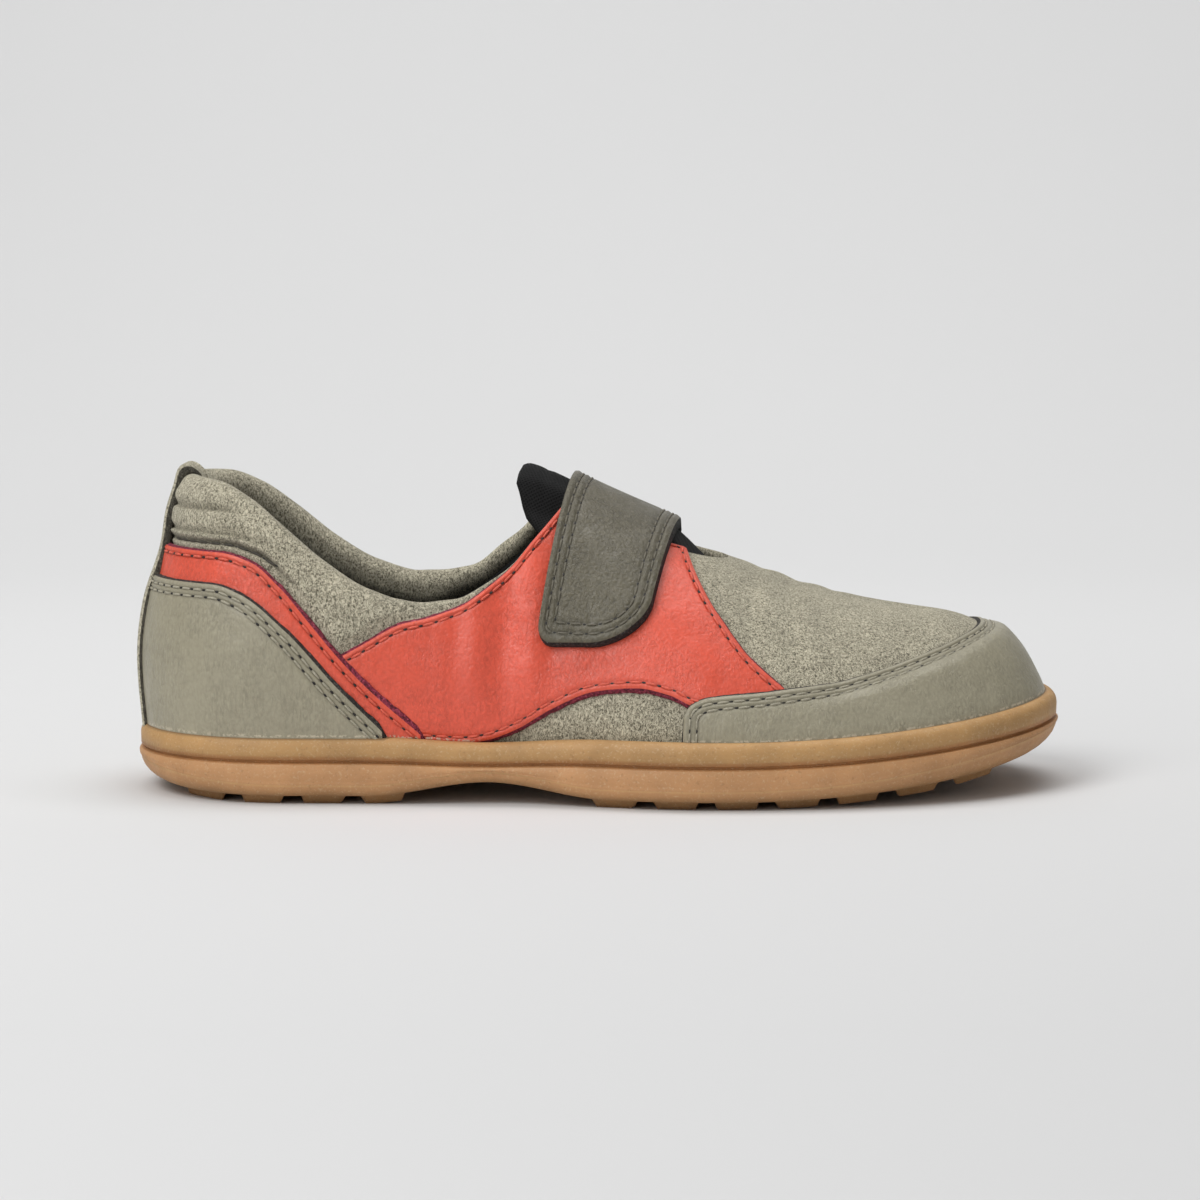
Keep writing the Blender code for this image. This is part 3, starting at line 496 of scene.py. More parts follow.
def form(side, u, theta, grow=0.0):
    """Point of the last: each rib rises from the outline to the crest as a quarter of a superellipse,
    theta from 0 to a quarter turn. grow lies that far outside the last."""
    base_x, base_y = plan(side, u)
    out_x, out_y = plan_normal(side, u)
    crest_x, crest_y, crest_z = crest(u)
    base_z = level_z(FLOOR, base_x) + GAP
    inward = 1 - np.clip(np.cos(theta), 0, 1) ** (2 / column(SECTIONS, "flank", crest_x))
    upward = np.clip(np.sin(theta), 0, 1)
    swell = np.sin(np.pi * np.clip(upward / 0.5, 0, 1)) ** 2
    out = grow * (1 - inward) + column(SECTIONS, "bulge", crest_x) * swell
    x = base_x + (crest_x - base_x) * inward + out_x * out
    y = base_y + (crest_y - base_y) * inward + out_y * out
    z = base_z + (crest_z + grow - base_z) * upward
    return np.stack(np.broadcast_arrays(x, y, z), axis=-1)


def theta_at_height(side, u, z):
    """Turn along the rib at which the last reaches this height; more than a quarter turn above the crest."""
    base_z = level_z(FLOOR, plan(side, u)[0]) + GAP
    share = (z - base_z) / (crest(u)[2] - base_z)
    return np.arcsin(np.clip(share, 0, 1)) + np.maximum(share - 1, 0)


def theta_at_width(side, u, width):
    """Turn along the rib at this distance in plan from the crest."""
    base_x, base_y = plan(side, u)
    crest_x, crest_y, _ = crest(u)
    reach = np.hypot(base_x - crest_x, base_y - crest_y)
    return np.arccos(np.clip(width / reach, 0, 1) ** (column(SECTIONS, "flank", crest_x) / 2))


def theta_over_lip(side, u, rise):
    """Turn along the rib at this rise over the lip of the sole."""
    return theta_at_height(side, u, level_z(LIP, plan(side, u)[0]) + rise)


def collar_z(side, x):
    """Height of the collar's top line."""
    return on_side(side, column(COLLAR, "lateral", x), column(COLLAR, "medial", x))


def soft_lower(first, second, sharp):
    """The lower of two values, with a soft corner where they cross: the log of their summed exponentials."""
    return -np.log(np.exp(-sharp * first) + np.exp(-sharp * second)) / sharp


def theta_top(side, u):
    """Turn at the edge of the opening: the lower of collar and throat, with a soft corner between them."""
    collar = theta_at_height(side, u, collar_z(side, plan(side, u)[0]))
    back = np.clip((BALL_X - crest(u)[0]) / THROAT_ROUND, 0, 1)
    throat = theta_at_width(side, u, THROAT_HALF * np.sqrt(1 - (1 - back) ** 2))
    return np.where(u <= 1, QUARTER_TURN, np.minimum(soft_lower(collar, throat, 40), QUARTER_TURN))


def collar_share(side, u):
    """1 along the padded collar, fading to 0 in front of it."""
    return ease(PAD_END_X, PAD_FULL_X, plan(side, u)[0])


def wall_at(side, u, theta):
    """Wall thickness: thin leather and lining, thicker in the padded collar."""
    return WALL + COLLAR_PAD * collar_share(side, u) * ease(0.45, 0.9, theta / theta_top(side, u))


def folds(u, theta):
    """Soft troughs with raised shoulders where the shoe has bent, each along a leaning line."""
    x, share = crest(u)[0], theta / QUARTER_TURN
    total = 0.0
    for fold in FOLDS:
        off = (x - fold.x - fold.lean * (1 - share)) / fold.width
        reach = ease(fold.low - 0.12, fold.low + 0.08, share)
        reach = reach * ease(fold.high + 0.12, fold.high - 0.08, share)
        relief = 0.45 * (bell(off, 1.8, 1) + bell(off, -1.8, 1)) - bell(off, 0, 1)
        total = total + fold.depth * reach * relief
    return total


def covered_z(x):
    """Height of the upper edge of the red overlays, where the padding is sewn flat."""
    stripe = np.where(x < STRIPE_EDGE[-1].x, column(STRIPE_EDGE, "rise", x), 0.0)
    quarter = np.where(x > QUARTER_TOP[0].x, column(QUARTER_TOP, "rise", x), 0.0)
    return level_z(LIP, x) + np.maximum(stripe, quarter)


def over_line(line_z, side, u, theta):
    """Distance of the last's points above a line on it, square to the line, which is a height over x."""
    x = plan(side, u)[0]
    slope = (line_z(x + 0.5) - line_z(x - 0.5)) * np.minimum(1.0, x / 10)
    return (form(side, u, theta)[..., 2] - line_z(x)) / np.sqrt(1 + slope**2)


def collar_places(side, u, theta):
    """x, distance above the edge of the red overlays and distance below the collar's top line."""
    above_top = over_line(lambda x: collar_z(side, x), side, u, theta)
    return plan(side, u)[0], over_line(covered_z, side, u, theta), -above_top


def quilting(side, u, theta):
    """Padding of the collar: puffed lobes above the red overlays, parted by the sewn channel, the furrow
    over its rib and the crease."""
    x, rise, under = collar_places(side, u, theta)
    swell = PUFF * ease(0.1, 2.6, rise) * ease(-1.5, 3, under)
    channel = 0.9 * ease(31, 18, x) * bell(rise, CHANNEL_RISE, 0.42)
    furrow = 0.85 * ease(27, 15, x) * bell(rise, FURROW_RISE, 0.5)
    crease = 0.8 * ease(24, 14, x) * bell(rise, CREASE_RISE, 0.6) * ease(0.6, 2.6, under)
    return collar_share(side, u) * (swell - channel - furrow - crease)


def channel_shade(side, u, theta):
    """How much painted shade darkens the collar: 1 and more in the sewn channel, less in the furrow and the
    crease, and 0 beside them.
    """
    x, rise, under = collar_places(side, u, theta)
    channel = 1.2 * ease(31, 20, x) * bell(rise, CHANNEL_RISE + 0.12, 0.34)
    furrow = 0.5 * ease(27, 15, x) * bell(rise, FURROW_RISE, 0.36)
    crease = 0.55 * ease(24, 15, x) * bell(rise, CREASE_RISE, 0.45) * ease(0.6, 2.6, under)
    return collar_share(side, u) * np.maximum(channel, np.maximum(furrow, crease))


def skin(side, u, theta):
    """How far the suede stands out from the last."""
    return quilting(side, u, theta) + folds(u, theta)


def unit(vector):
    """Vectors scaled to a length of 1."""
    return vector / np.maximum(np.linalg.norm(vector, axis=-1, keepdims=True), 1e-6)


def rolled_rows(side, u, theta, grow, lift=0.0):
    """Outer rows of a wall up to the top edge, then a half-round roll over that edge to the inside."""
    outer = form(side, u, theta, grow)
    inside = form(side, u, theta[-1], -wall_at(side, u, theta[-1]) - lift)
    upward = unit(outer[-1] - outer[-2])
    half = np.linalg.norm(outer[-1] - inside, axis=-1) / 2 * ease(QUARTER_TURN, 1.25, theta[-1])
    turn = np.linspace(0, np.pi, 13)[:, None, None]
    middle = (outer[-1] + inside) / 2
    return outer, middle + (outer[-1] - middle) * np.cos(turn) + upward * half[:, None] * np.sin(turn)


def suede(name):
    """Suede: contrasty short fibres over brushed clouds, painted shade in the collar's channel, furrow and
    crease, no gloss, a soft sheen of nap.
    """
    material, tree, shader = start_material(name)
    place = object_place(tree)
    fibre = noise(tree, object_place(tree, (1.2, 1.2, 0.7)), 0.33, 4, 0.68, 1.2)
    colour = ramp(tree, fibre, (0.40, DARK_NAP), (0.59, LIGHT_NAP))
    colour = mottled(tree, colour, noise(tree, place, 8, 3), (0.32, 0.90), (0.68, 1.08))
    colour = mottled(tree, colour, noise(tree, place, 1.5, 3), (0.3, 0.90), (0.7, 1.08))
    # Painted shade darkens the suede in the collar's sewn channel, furrow and crease.
    colour = mix(tree, combine(tree, "MULTIPLY", mark(tree, "seam"), 0.75), colour, CHANNEL_PAINTED_SHADE)
    worn = combine(tree, "MULTIPLY", mark(tree, "edge"), ramp(tree, fibre, (0.3, 1), (0.75, 0.78)))
    connect(tree, shader, {
        "Base Color": mix(tree, worn, colour, RAW_SUEDE),
        "Normal": bumps(tree, (noise(tree, place, 1.7, 3), 0.10), (fibre, 0.16)),
        "Roughness": 0.95,
        "Specular IOR Level": 0.15,
        "Sheen Weight": 0.25,
        "Sheen Roughness": 0.5,
        "Sheen Tint": NAP_SHEEN,
    })
    return material


def black_cloth(name, tint, thread):
    """Black woven cloth: crossed threads of the given pitch in millimetres, faint lint and fading."""
    material, tree, shader = start_material(name)
    place, slanted = object_place(tree), object_place(tree, turn=(0.7, 0.4, 0.3))
    waves = {"Vector": slanted, "Scale": 2 * np.pi * 1000 / thread / 20, "Distortion": 0.6}
    warp, weft = (add(tree, "TexWave", waves, bands_direction=axis).outputs[1] for axis in "XZ")
    weave = combine(tree, "MAXIMUM", warp, weft)
    colour = ramp(tree, weave, (0.1, tint * 0.45), (0.9, tint * 1.3))
    colour = mottled(tree, colour, noise(tree, place, 6, 3), (0.3, 0.75), (0.7, 1.25))
    connect(tree, shader, {
        "Base Color": flecked(tree, colour, noise(tree, place, 0.5, 2), (0.68, 0), (0.8, 0.4), grey(0.06)),
        "Normal": bumps(tree, (weave, 0.10), (noise(tree, place, 0.4, 2), 0.05)),
        "Roughness": 0.9,
        "Specular IOR Level": 0.2,
    })
    return material


def sewing_thread(name, colour):
    """Waxed thread, a little uneven, with the needle holes between the stitches painted almost black as the
    shade inside them.
    """
    material, tree, shader = start_material(name)
    place = object_place(tree)
    body = mottled(tree, colour, noise(tree, place, 0.3, 2), (0.3, 0.72), (0.7, 1.12))
    connect(tree, shader, {
        # The needle holes are painted near black: painted shade inside the holes.
        "Base Color": mix(tree, mark(tree, "hole"), body, (0.012, 0.010, 0.009, 1)),
        "Normal": bumps(tree, (noise(tree, place, 0.25, 2), 0.06)),
        "Roughness": 0.6,
    })
    return material


def read_line(points, length, where):
    """Points of a line at other lengths along it than its own."""
    return np.stack([np.interp(where, length, values) for values in points.T], axis=-1)


def stitch_sheets(path, lift, thick=STITCH_THICK, sink=STITCH_SINK):
    """A row of stitches: bent capsules end to end along a path, lift pointing out of the leather, each
    a circle carried along a low arch, and a long flat ellipsoid, painted dark as shade, for the needle hole
    between them."""
    length = run_length(path)
    count = max(int(length[-1] // STITCH_PITCH), 1)
    pitch = length[-1] / count
    share = np.linspace(-1, 1, 7)
    where = (np.arange(count)[:, None] + 0.5) * pitch + share * (pitch - STITCH_GAP) / 2
    up = read_line(lift, length, where)
    middle = read_line(path, length, where) + up * (thick * 0.5 * (1 - share**2) - sink)[:, None]
    across = np.cross(unit(np.gradient(middle, axis=1)), up)
    turn = np.linspace(0, 2 * np.pi, 6, endpoint=False)[:, None]
    radius = (thick / 2 * (1 - np.abs(share) ** 5) ** 0.5)[:, None, None]
    circle = np.cos(turn) * across[:, :, None] + np.sin(turn) * up[:, :, None]
    threads = middle[:, :, None] + radius * circle
    where = np.arange(count + 1) * pitch
    spots, up = read_line(path, length, where), read_line(lift, length, where)[:, None, None]
    along = unit(np.gradient(spots, axis=0))[:, None, None]
    rise = np.linspace(-QUARTER_TURN, QUARTER_TURN, 5)[:, None, None]
    turn = np.linspace(0, 2 * np.pi, 8, endpoint=False)[:, None]
    flat = HOLE_LONG * np.cos(turn) * along + HOLE_WIDE * np.sin(turn) * np.cross(along, up)
    holes = spots[:, None, None] + np.cos(rise) * flat + HOLE_DEEP * np.sin(rise) * up
    return [Sheet(threads, True, marks={"hole": 0.0}), Sheet(holes, True, marks={"hole": 1.0})]


STONE_SUEDE = suede("stone_suede")
upper_places = rib_places(96, 120, 60, 1.25)
upper_side, upper_u = both_sides(upper_places, upper_places[1:])
upper_top = theta_top(upper_side, upper_u)
open_rib = (upper_u > 1) | (np.roll(upper_u, -1) > 1)
upper_turn = FOOT_TURN + (upper_top - FOOT_TURN) * np.linspace(0, 1, 116)[:, None] ** 0.8
outer_rows, roll_rows = rolled_rows(upper_side, upper_u, upper_turn, skin(upper_side, upper_u, upper_turn))
rib_length = np.linalg.norm(np.diff(outer_rows, axis=0), axis=-1).sum(axis=0)
band_end = np.where(upper_u > 1, upper_top * (1 - SUEDE_BAND / rib_length), upper_top)
hidden = band_end * np.linspace(1, 0, 8)[:, None]
hidden_rows = form(upper_side, upper_u, hidden, -np.maximum(wall_at(upper_side, upper_u, hidden) - 0.8, 0.9))
band_row = form(upper_side, upper_u, band_end, -wall_at(upper_side, upper_u, band_end))
make_piece(
    "suede_upper",
    [
        Sheet(outer_rows, True, marks={"edge": 0.0, "seam": channel_shade(upper_side, upper_u, upper_turn)}),
        Sheet(roll_rows, True, open_rib),
        Sheet(np.stack([roll_rows[-1], band_row]), True, open_rib),
        Sheet(np.stack([band_row, hidden_rows[0]]), True, open_rib),
        Sheet(hidden_rows, True),
        Sheet(np.stack([outer_rows[0], hidden_rows[-1]]), True),
    ],
    STONE_SUEDE, "upper",
)

lining_turn = band_end * np.linspace(1, 0, 26)[:, None]
lining_wall = wall_at(upper_side, upper_u, lining_turn)
lining_face = form(upper_side, upper_u, lining_turn, -lining_wall)
lining_back = form(upper_side, upper_u, lining_turn, -lining_wall + 0.6)
make_piece(
    "lining",
    [
        Sheet(lining_face, True),
        Sheet(lining_back, True),
        Sheet(np.stack([lining_face[0], lining_back[0]]), True, open_rib),
        Sheet(np.stack([lining_face[-1], lining_back[-1]]), True),
    ],
    black_cloth("lining_cloth", 0.012, 0.45),
)

heel_u = np.linspace(2.78, 2.06, 60)
turns = np.linspace(0.3, 1.2, 300)[:, None]
sheets = []
for side in (LATERAL, MEDIAL):
    near = np.argmin(np.abs(over_line(covered_z, side, heel_u, turns) - CHANNEL_RISE), axis=0)
    turn = np.convolve(np.pad(turns[near, 0], 4, "edge"), np.ones(9) / 9, "valid")
    seam = form(side, heel_u, turn, skin(side, heel_u, turn))
    lift = unit(form(side, heel_u, turn, 1.0) - form(side, heel_u, turn))
    sheets += stitch_sheets(seam, lift, thick=0.4, sink=-0.04)
# The collar thread is painted near black: painted shade of the sewn channel it lies in.
make_piece("collar_stitching", sheets, sewing_thread("shaded_collar_thread", (0.060, 0.053, 0.040, 1)))


# Footbed: a thin foam insole covered with dark napped cloth, dished a little under the heel and loose
# in the cup, seen only through the foot opening.
INSOLE_THICK, INSOLE_ROUND, INSOLE_DISH = 3.0, 0.8, 0.5


def insole_rows(side, u):
    """Side of the footbed, as rows up a rounded edge at a constant distance inside the wall."""
    turn = np.linspace(0, QUARTER_TURN, 5)
    inset = -(WALL + GAP) - INSOLE_ROUND * (1 - np.cos(turn))
    rise = INSOLE_THICK - INSOLE_ROUND + INSOLE_ROUND * np.sin(turn)
    rows = np.array([form(side, u, 0 * u, grow) for grow in [-(WALL + GAP), *inset]])
    rows[..., 2] = level_z(FLOOR, rows[..., 0]) + GAP + np.concatenate([[0.0], rise])[:, None]
    return rows


bed_rows = insole_rows(sole_side, sole_u)
bed_top = rungs(bed_rows[-1], 25)
bed_x, bed_share = bed_top[..., 0], np.linspace(0, 1, 25)[:, None]
dish = INSOLE_DISH * np.sin(np.pi * bed_share) ** 0.5 * ease(45, 20, bed_x)
bed_top[..., 2] = level_z(FLOOR, bed_x) + GAP + INSOLE_THICK - dish
footbed = make_piece(
    "footbed",
    [Sheet(bed_rows, True), Sheet(bed_top), Sheet(rungs(bed_rows[0], 2))],
    black_cloth("footbed_cloth", 0.022, 0.5), "insole",
)


# Tongue: a black padded cloth tongue sewn under the vamp, rising through the throat and under the
# strap, with a bound rounded top.
TONGUE_FRONT_X, TONGUE_TOP_X, TONGUE_ROUND = 100.0, 62.0, 11
TONGUE_HALF, TONGUE_THICK, TONGUE_PUFF = 14.5, 3.2, 3.5
HEM_BELOW, HEM_DEPTH, HEM_WIDTH = 4.5, 0.18, 0.6


def u_at_crest(x):
    """Place along the outline whose rib ends at this x on the crest."""
    dense = np.linspace(0, 3, 6001)
    return np.interp(x, crest(dense)[0][::-1], dense[::-1])


def tongue_faces(rows, across):
    """Pillow along the crest: a middle sheet at a set depth under it, swollen to both sides by a
    superellipse that closes at the edges."""
    along = np.linspace(TONGUE_FRONT_X, TONGUE_TOP_X, rows)
    near_top = np.clip((TONGUE_TOP_X + TONGUE_ROUND - along) / TONGUE_ROUND, 0, 1)
    half = TONGUE_HALF * np.sqrt(1 - 0.78 * near_top**2)
    share = np.sin(np.linspace(-QUARTER_TURN, QUARTER_TURN, across))[:, None]
    width = np.abs(share) * half
    side = np.where(share < 0, LATERAL, MEDIAL)
    places = u_at_crest(along)
    theta = theta_at_width(side, places, width)
    in_throat = ease(BALL_X - WALL, BALL_X - THROAT_ROUND, along)
    puff = ease(THROAT_HALF + 0.6, THROAT_HALF * 0.8, width) * in_throat
    middle = -(WALL + 0.6) + TONGUE_PUFF * puff - TONGUE_THICK / 2 - 1.6 * near_top**3
    end = np.clip((along - TONGUE_TOP_X) / 2.2, 0, 1)
    swell = TONGUE_THICK / 2 * (1 - np.abs(share) ** 6) ** 0.5 * np.sqrt(1 - (1 - end) ** 2)
    hem = HEM_DEPTH * bell(along, TONGUE_TOP_X + HEM_BELOW, HEM_WIDTH)
    return form(side, places, theta, middle + swell - hem), form(side, places, theta, middle - swell)


tongue_face, tongue_back = tongue_faces(70, 49)
tongue = make_piece(
    "tongue_pad",
    [Sheet(tongue_face), Sheet(tongue_back), Sheet(np.stack([tongue_face[:, 0], tongue_back[:, 0]]))],
    black_cloth("tongue_cloth", 0.011, 0.45), "tongue",
)


# Red overlays: quarters and heel stripes cut from coral red leather, laid on the suede and sewn with
# one row of red thread. Their raw edges show dark.
SIDES = ((LATERAL, "lateral"), (MEDIAL, "medial"))
STRIP_HALF = 5.8
STRIP_PLACE = 3 - np.arcsin((STRIP_HALF / (HEEL_HALF - SOLE_RIM)) ** (HEEL_POWER / 2)) / QUARTER_TURN
HEEL_END = STRIP_PLACE + 0.02
LIP_SINK, UNDERLAP = -0.8, 2.0
QUARTER_OUT, QUARTER_TUCK, STRIPE_OUT = 1.25, 0.55, 1.55
QUARTER_REAR_X, QUARTER_FRONT_X, STRIPE_FRONT_X, STRAP_X = 33.0, 103.6, 46.6, 79.5
RED_SEAM, FOOT_SEAM_REAR_X, FOOT_SEAM_FRONT_X = 0.95, 46, 91
EDGE_ROLL, EDGE_SWELL, SEAM_PULL, SEAM_SWELL = 0.16, 0.10, 0.20, 0.12
FRAYED_THREAD = (0.58, 0.51, 0.38, 1)
COUNTER_EDGE = [
    Edge(0, 23.2), Edge(14, 23.0), Edge(18.5, 21.6), Edge(26, 15.5), Edge(33.5, 7.6), Edge(41.5, 0),
]
QUARTER_FRONT = [
    Edge(78, 42.0), Edge(85, 30.0), Edge(89, 23.2), Edge(93, 17.5),
    Edge(97, 12.8), Edge(101, 9.3), Edge(104, 7.0),
]
QUARTER_FOOT = [
    Edge(46, -0.3), Edge(53, -0.2), Edge(57, 0.4), Edge(62, 2.0), Edge(68, 5.0), Edge(75, 7.4),
    Edge(81, 7.9), Edge(86, 6.9), Edge(90, 5.2), Edge(96, 4.6), Edge(104, 4.6),
]


def u_at(side, x):
    """Place along the outline of one side whose point has this x."""
    dense = np.linspace(0, 3, 6001)
    return np.interp(x, plan(side, dense)[0][::-1], dense[::-1])


def side_places(side, rear_x, front_x, step=0.5):
    """Places along one side from rear to front at even lengths of the outline."""
    dense = np.linspace(u_at(side, rear_x), u_at(side, front_x), 2001)
    length = run_length(np.stack(plan(side, dense), axis=-1))
    return np.interp(np.linspace(0, length[-1], int(length[-1] / step)), length, dense)


def nearest(points, line):
    """For each point, the number of the nearest point of a line and the distance to it."""
    squares = (points**2).sum(axis=1)[:, None] + (line**2).sum(axis=1) - 2 * points @ line.T
    return squares.argmin(axis=1), np.sqrt(np.maximum(squares.min(axis=1), 0))


def edge_distance(points, line):
    """Distance of each grid point from a line."""
    fine = read_line(line, np.arange(len(line)), np.linspace(0, len(line) - 1, 4 * len(line)))
    return nearest(points.reshape(-1, 3), fine)[1].reshape(points.shape[:2])


def border(points):
    """The points round the edge of a grid, in order."""
    return np.concatenate([points[0, :-1], points[:-1, -1], points[-1, :0:-1], points[:0:-1, 0]])


def edge_line(grid, part):
    """Points along the edge of a grid: its top row, its foot row, or both ends and the top in one run."""
    if part == "ends":
        return np.concatenate([grid[:-1, 0], grid[-1], grid[-2::-1, -1]])
    return grid[-1 if part == "top" else 0]


def layer_sheets(inner, outer, marks, bevel):
    """A closed leather layer: face, back and a raw edge that slants out to the back, marked as edge."""
    inset = outer.copy()
    inset[0], inset[-1] = outer[1], outer[-2]
    inset[:, 0], inset[:, -1] = inset[:, 1].copy(), inset[:, -2].copy()
    rim, foot = border(outer), border(inner)
    ragged = np.random.default_rng(len(rim)).normal(1.0, 0.10, (len(rim), 1))
    outward = unit(rim - border(inset)) * (ragged + np.roll(ragged, 1, axis=0)) / 2
    outward = outward * border(np.broadcast_to(bevel, outer.shape[:2])[..., None])
    steps = ((0.0, 0.0), (0.06, 0.12), (0.28, 0.6), (0.52, 1.0))
    rows = [rim + unit(foot - rim) * down + outward * out for down, out in steps]
    rows = np.array(rows + [foot + outward, foot])
    edge = np.array([0.0, 1.0, 1.0, 1.0, 1.0, 1.0])[:, None]
    raw_edge = Sheet(rows, True, marks={"edge": edge})
    return [Sheet(outer, marks=marks), raw_edge, Sheet(inner, marks={"edge": 1.0})]


def seam_relief(distance, seams):
    """Leather face at a distance from its edge: rolled down at the edge, swollen before the first seam
    and between two seams, and pulled in along each seam."""
    relief = -EDGE_ROLL * bell(distance, 0, 0.35) + EDGE_SWELL * bell(distance, seams[0] * 0.5, 0.4)
    for seam in seams:
        relief = relief - SEAM_PULL * bell(distance, seam, 0.32)
    if len(seams) > 1:
        relief = relief + SEAM_SWELL * bell(distance, (seams[0] + seams[1]) / 2, 0.3)
    return relief


def seam_shade(distance, seams):
    """Painted shade along each seam: 1 along the seam, fading to 0 beside it."""
    return sum(bell(distance, seam, 0.29) for seam in seams)


def edge_seam(back, face, inset, part):
    """Path of a seam at a distance inside an edge of a leather face, laid on it, and its lift."""
    line = edge_line(face, part)
    inward = unit(np.cross(line - edge_line(back, part), np.gradient(line, axis=0)))
    middle = len(line) // 2
    inward = inward * np.sign((face[len(face) // 2, face.shape[1] // 2] - line[middle]) @ inward[middle])
    path = line + inset * inward
    ups, flat = unit(face - back).reshape(-1, 3), face.reshape(-1, 3)
    near, _ = nearest(path, flat)
    path = path - ups[near] * ((path - flat[near]) * ups[near]).sum(axis=-1, keepdims=True)
    keep = (np.linalg.norm(path - flat[near], axis=-1) < 0.7) & (nearest(path, line)[1] > 0.93 * inset)
    return path[keep], ups[near][keep]


def seam_stitches(back, face, seams, part, skip=0):
    """Stitches along an edge of a leather face, a row for each distance inside it. skip leaves out the
    first points of each row."""
    rows = [edge_seam(back, face, seam, part) for seam in seams]
    return [sheet for path, lift in rows for sheet in stitch_sheets(path[skip:], lift[skip:])]


def overlay(name, side, places, low, high, out, rows, edges, material, bevel, skive=0.0):
    """Leather overlay on the upper between two turns along each rib, with troughs along the seams of its
    edges. skive thins it towards its top. Returns its back and its face for the stitching."""
    bunch = (1 - np.cos(np.linspace(0, np.pi, rows))) / 2
    theta = low + (high - low) * (0.75 * bunch + 0.25 * np.linspace(0, 1, rows))[:, None]
    plain = form(side, places, theta, out)
    grow, seam = out + folds(places, theta), 0.0
    for part, seams in edges:
        distance = edge_distance(plain, edge_line(plain, part))
        thinner = 0.0 if part == "foot" else skive * ease(4.5, 0.5, distance)
        grow = grow + seam_relief(distance, seams) - thinner
        seam = np.maximum(seam, seam_shade(distance, seams))
    back, face = form(side, places, theta, folds(places, theta) - 0.3), form(side, places, theta, grow)
    rise = face[..., 2] - level_z(LIP, face[..., 0])
    marks = {"seam": seam, "fray": bell(rise, 0.33, 0.18)}
    make_piece(name + "_leather", layer_sheets(back, face, marks, bevel), material, name)
    return back, face


def dyed(colour, share, lift=0.0):
    """A colour made darker or lighter by a share, and lifted."""
    return tuple(share * part + lift for part in colour[:3]) + (1,)


def leather(name, colour, edge_colour, wrinkles, pore=0.55, grained=1.0):
    """Smooth leather: pebbled grain, fine wrinkles, dye that varies in clouds, a satin finish, painted shade
    along the pulled-in seams, a fuzzy raw edge and pale frayed ends along the lip of the sole."""
    material, tree, shader = start_material(name)
    place = object_place(tree)
    tone = ramp(tree, noise(tree, place, 10, 4), (0.3, dyed(colour, 0.88)), (0.68, colour))
    pores = {"Vector": place, "Scale": 1000 / pore, "Randomness": 1.0}
    grain = add(tree, "TexVoronoi", pores, feature="SMOOTH_F1").outputs[0]
    tone = mottled(tree, tone, grain, (0.25, 1 + 0.03 * grained), (0.75, 1 - 0.08 * grained))
    wrinkle = noise(tree, object_place(tree, wrinkles), 0.66, 4, 0.62, 0.8)
    patches = ramp(tree, noise(tree, place, 6, 2), (0.36, 0.3), (0.62, 1.0))
    lined = mottled(tree, tone, wrinkle, (0.38, 1 - 0.15 * grained), (0.60, 1 + 0.07 * grained))
    tone = mix(tree, patches, tone, lined)
    # Painted shade along the seams darkens the leather towards a third of its colour.
    tone = mix(tree, combine(tree, "MULTIPLY", mark(tree, "seam"), 0.55), tone, dyed(colour, 0.30))
    thread_ends = ramp(tree, noise(tree, place, 0.6, 2), (0.49, 0), (0.55, 0.85))
    tone = mix(tree, combine(tree, "MULTIPLY", mark(tree, "fray"), thread_ends), tone, FRAYED_THREAD)
    deep, lit, tips = dyed(edge_colour, 0.4), dyed(edge_colour, 1.9), dyed(edge_colour, 2.4, 0.12)
    fuzz = ramp(tree, noise(tree, place, 0.4, 3, 0.7), (0.40, deep), (0.58, lit), (0.72, tips))
    gloss = ramp(tree, noise(tree, place, 2.2, 4), (0.3, 0.34), (0.7, 0.48))
    furrows = combine(tree, "MULTIPLY", wrinkle, patches)
    slack = noise(tree, place, 5, 2)
    connect(tree, shader, {
        "Base Color": mix(tree, mark(tree, "edge"), tone, fuzz),
        "Roughness": mix(tree, mark(tree, "edge"), gloss, grey(0.9)),
        "Normal": bumps(tree, (slack, 0.35), (furrows, 0.18 * grained), (grain, -0.06 * grained)),
        "Specular IOR Level": 0.5,
    })
    return material


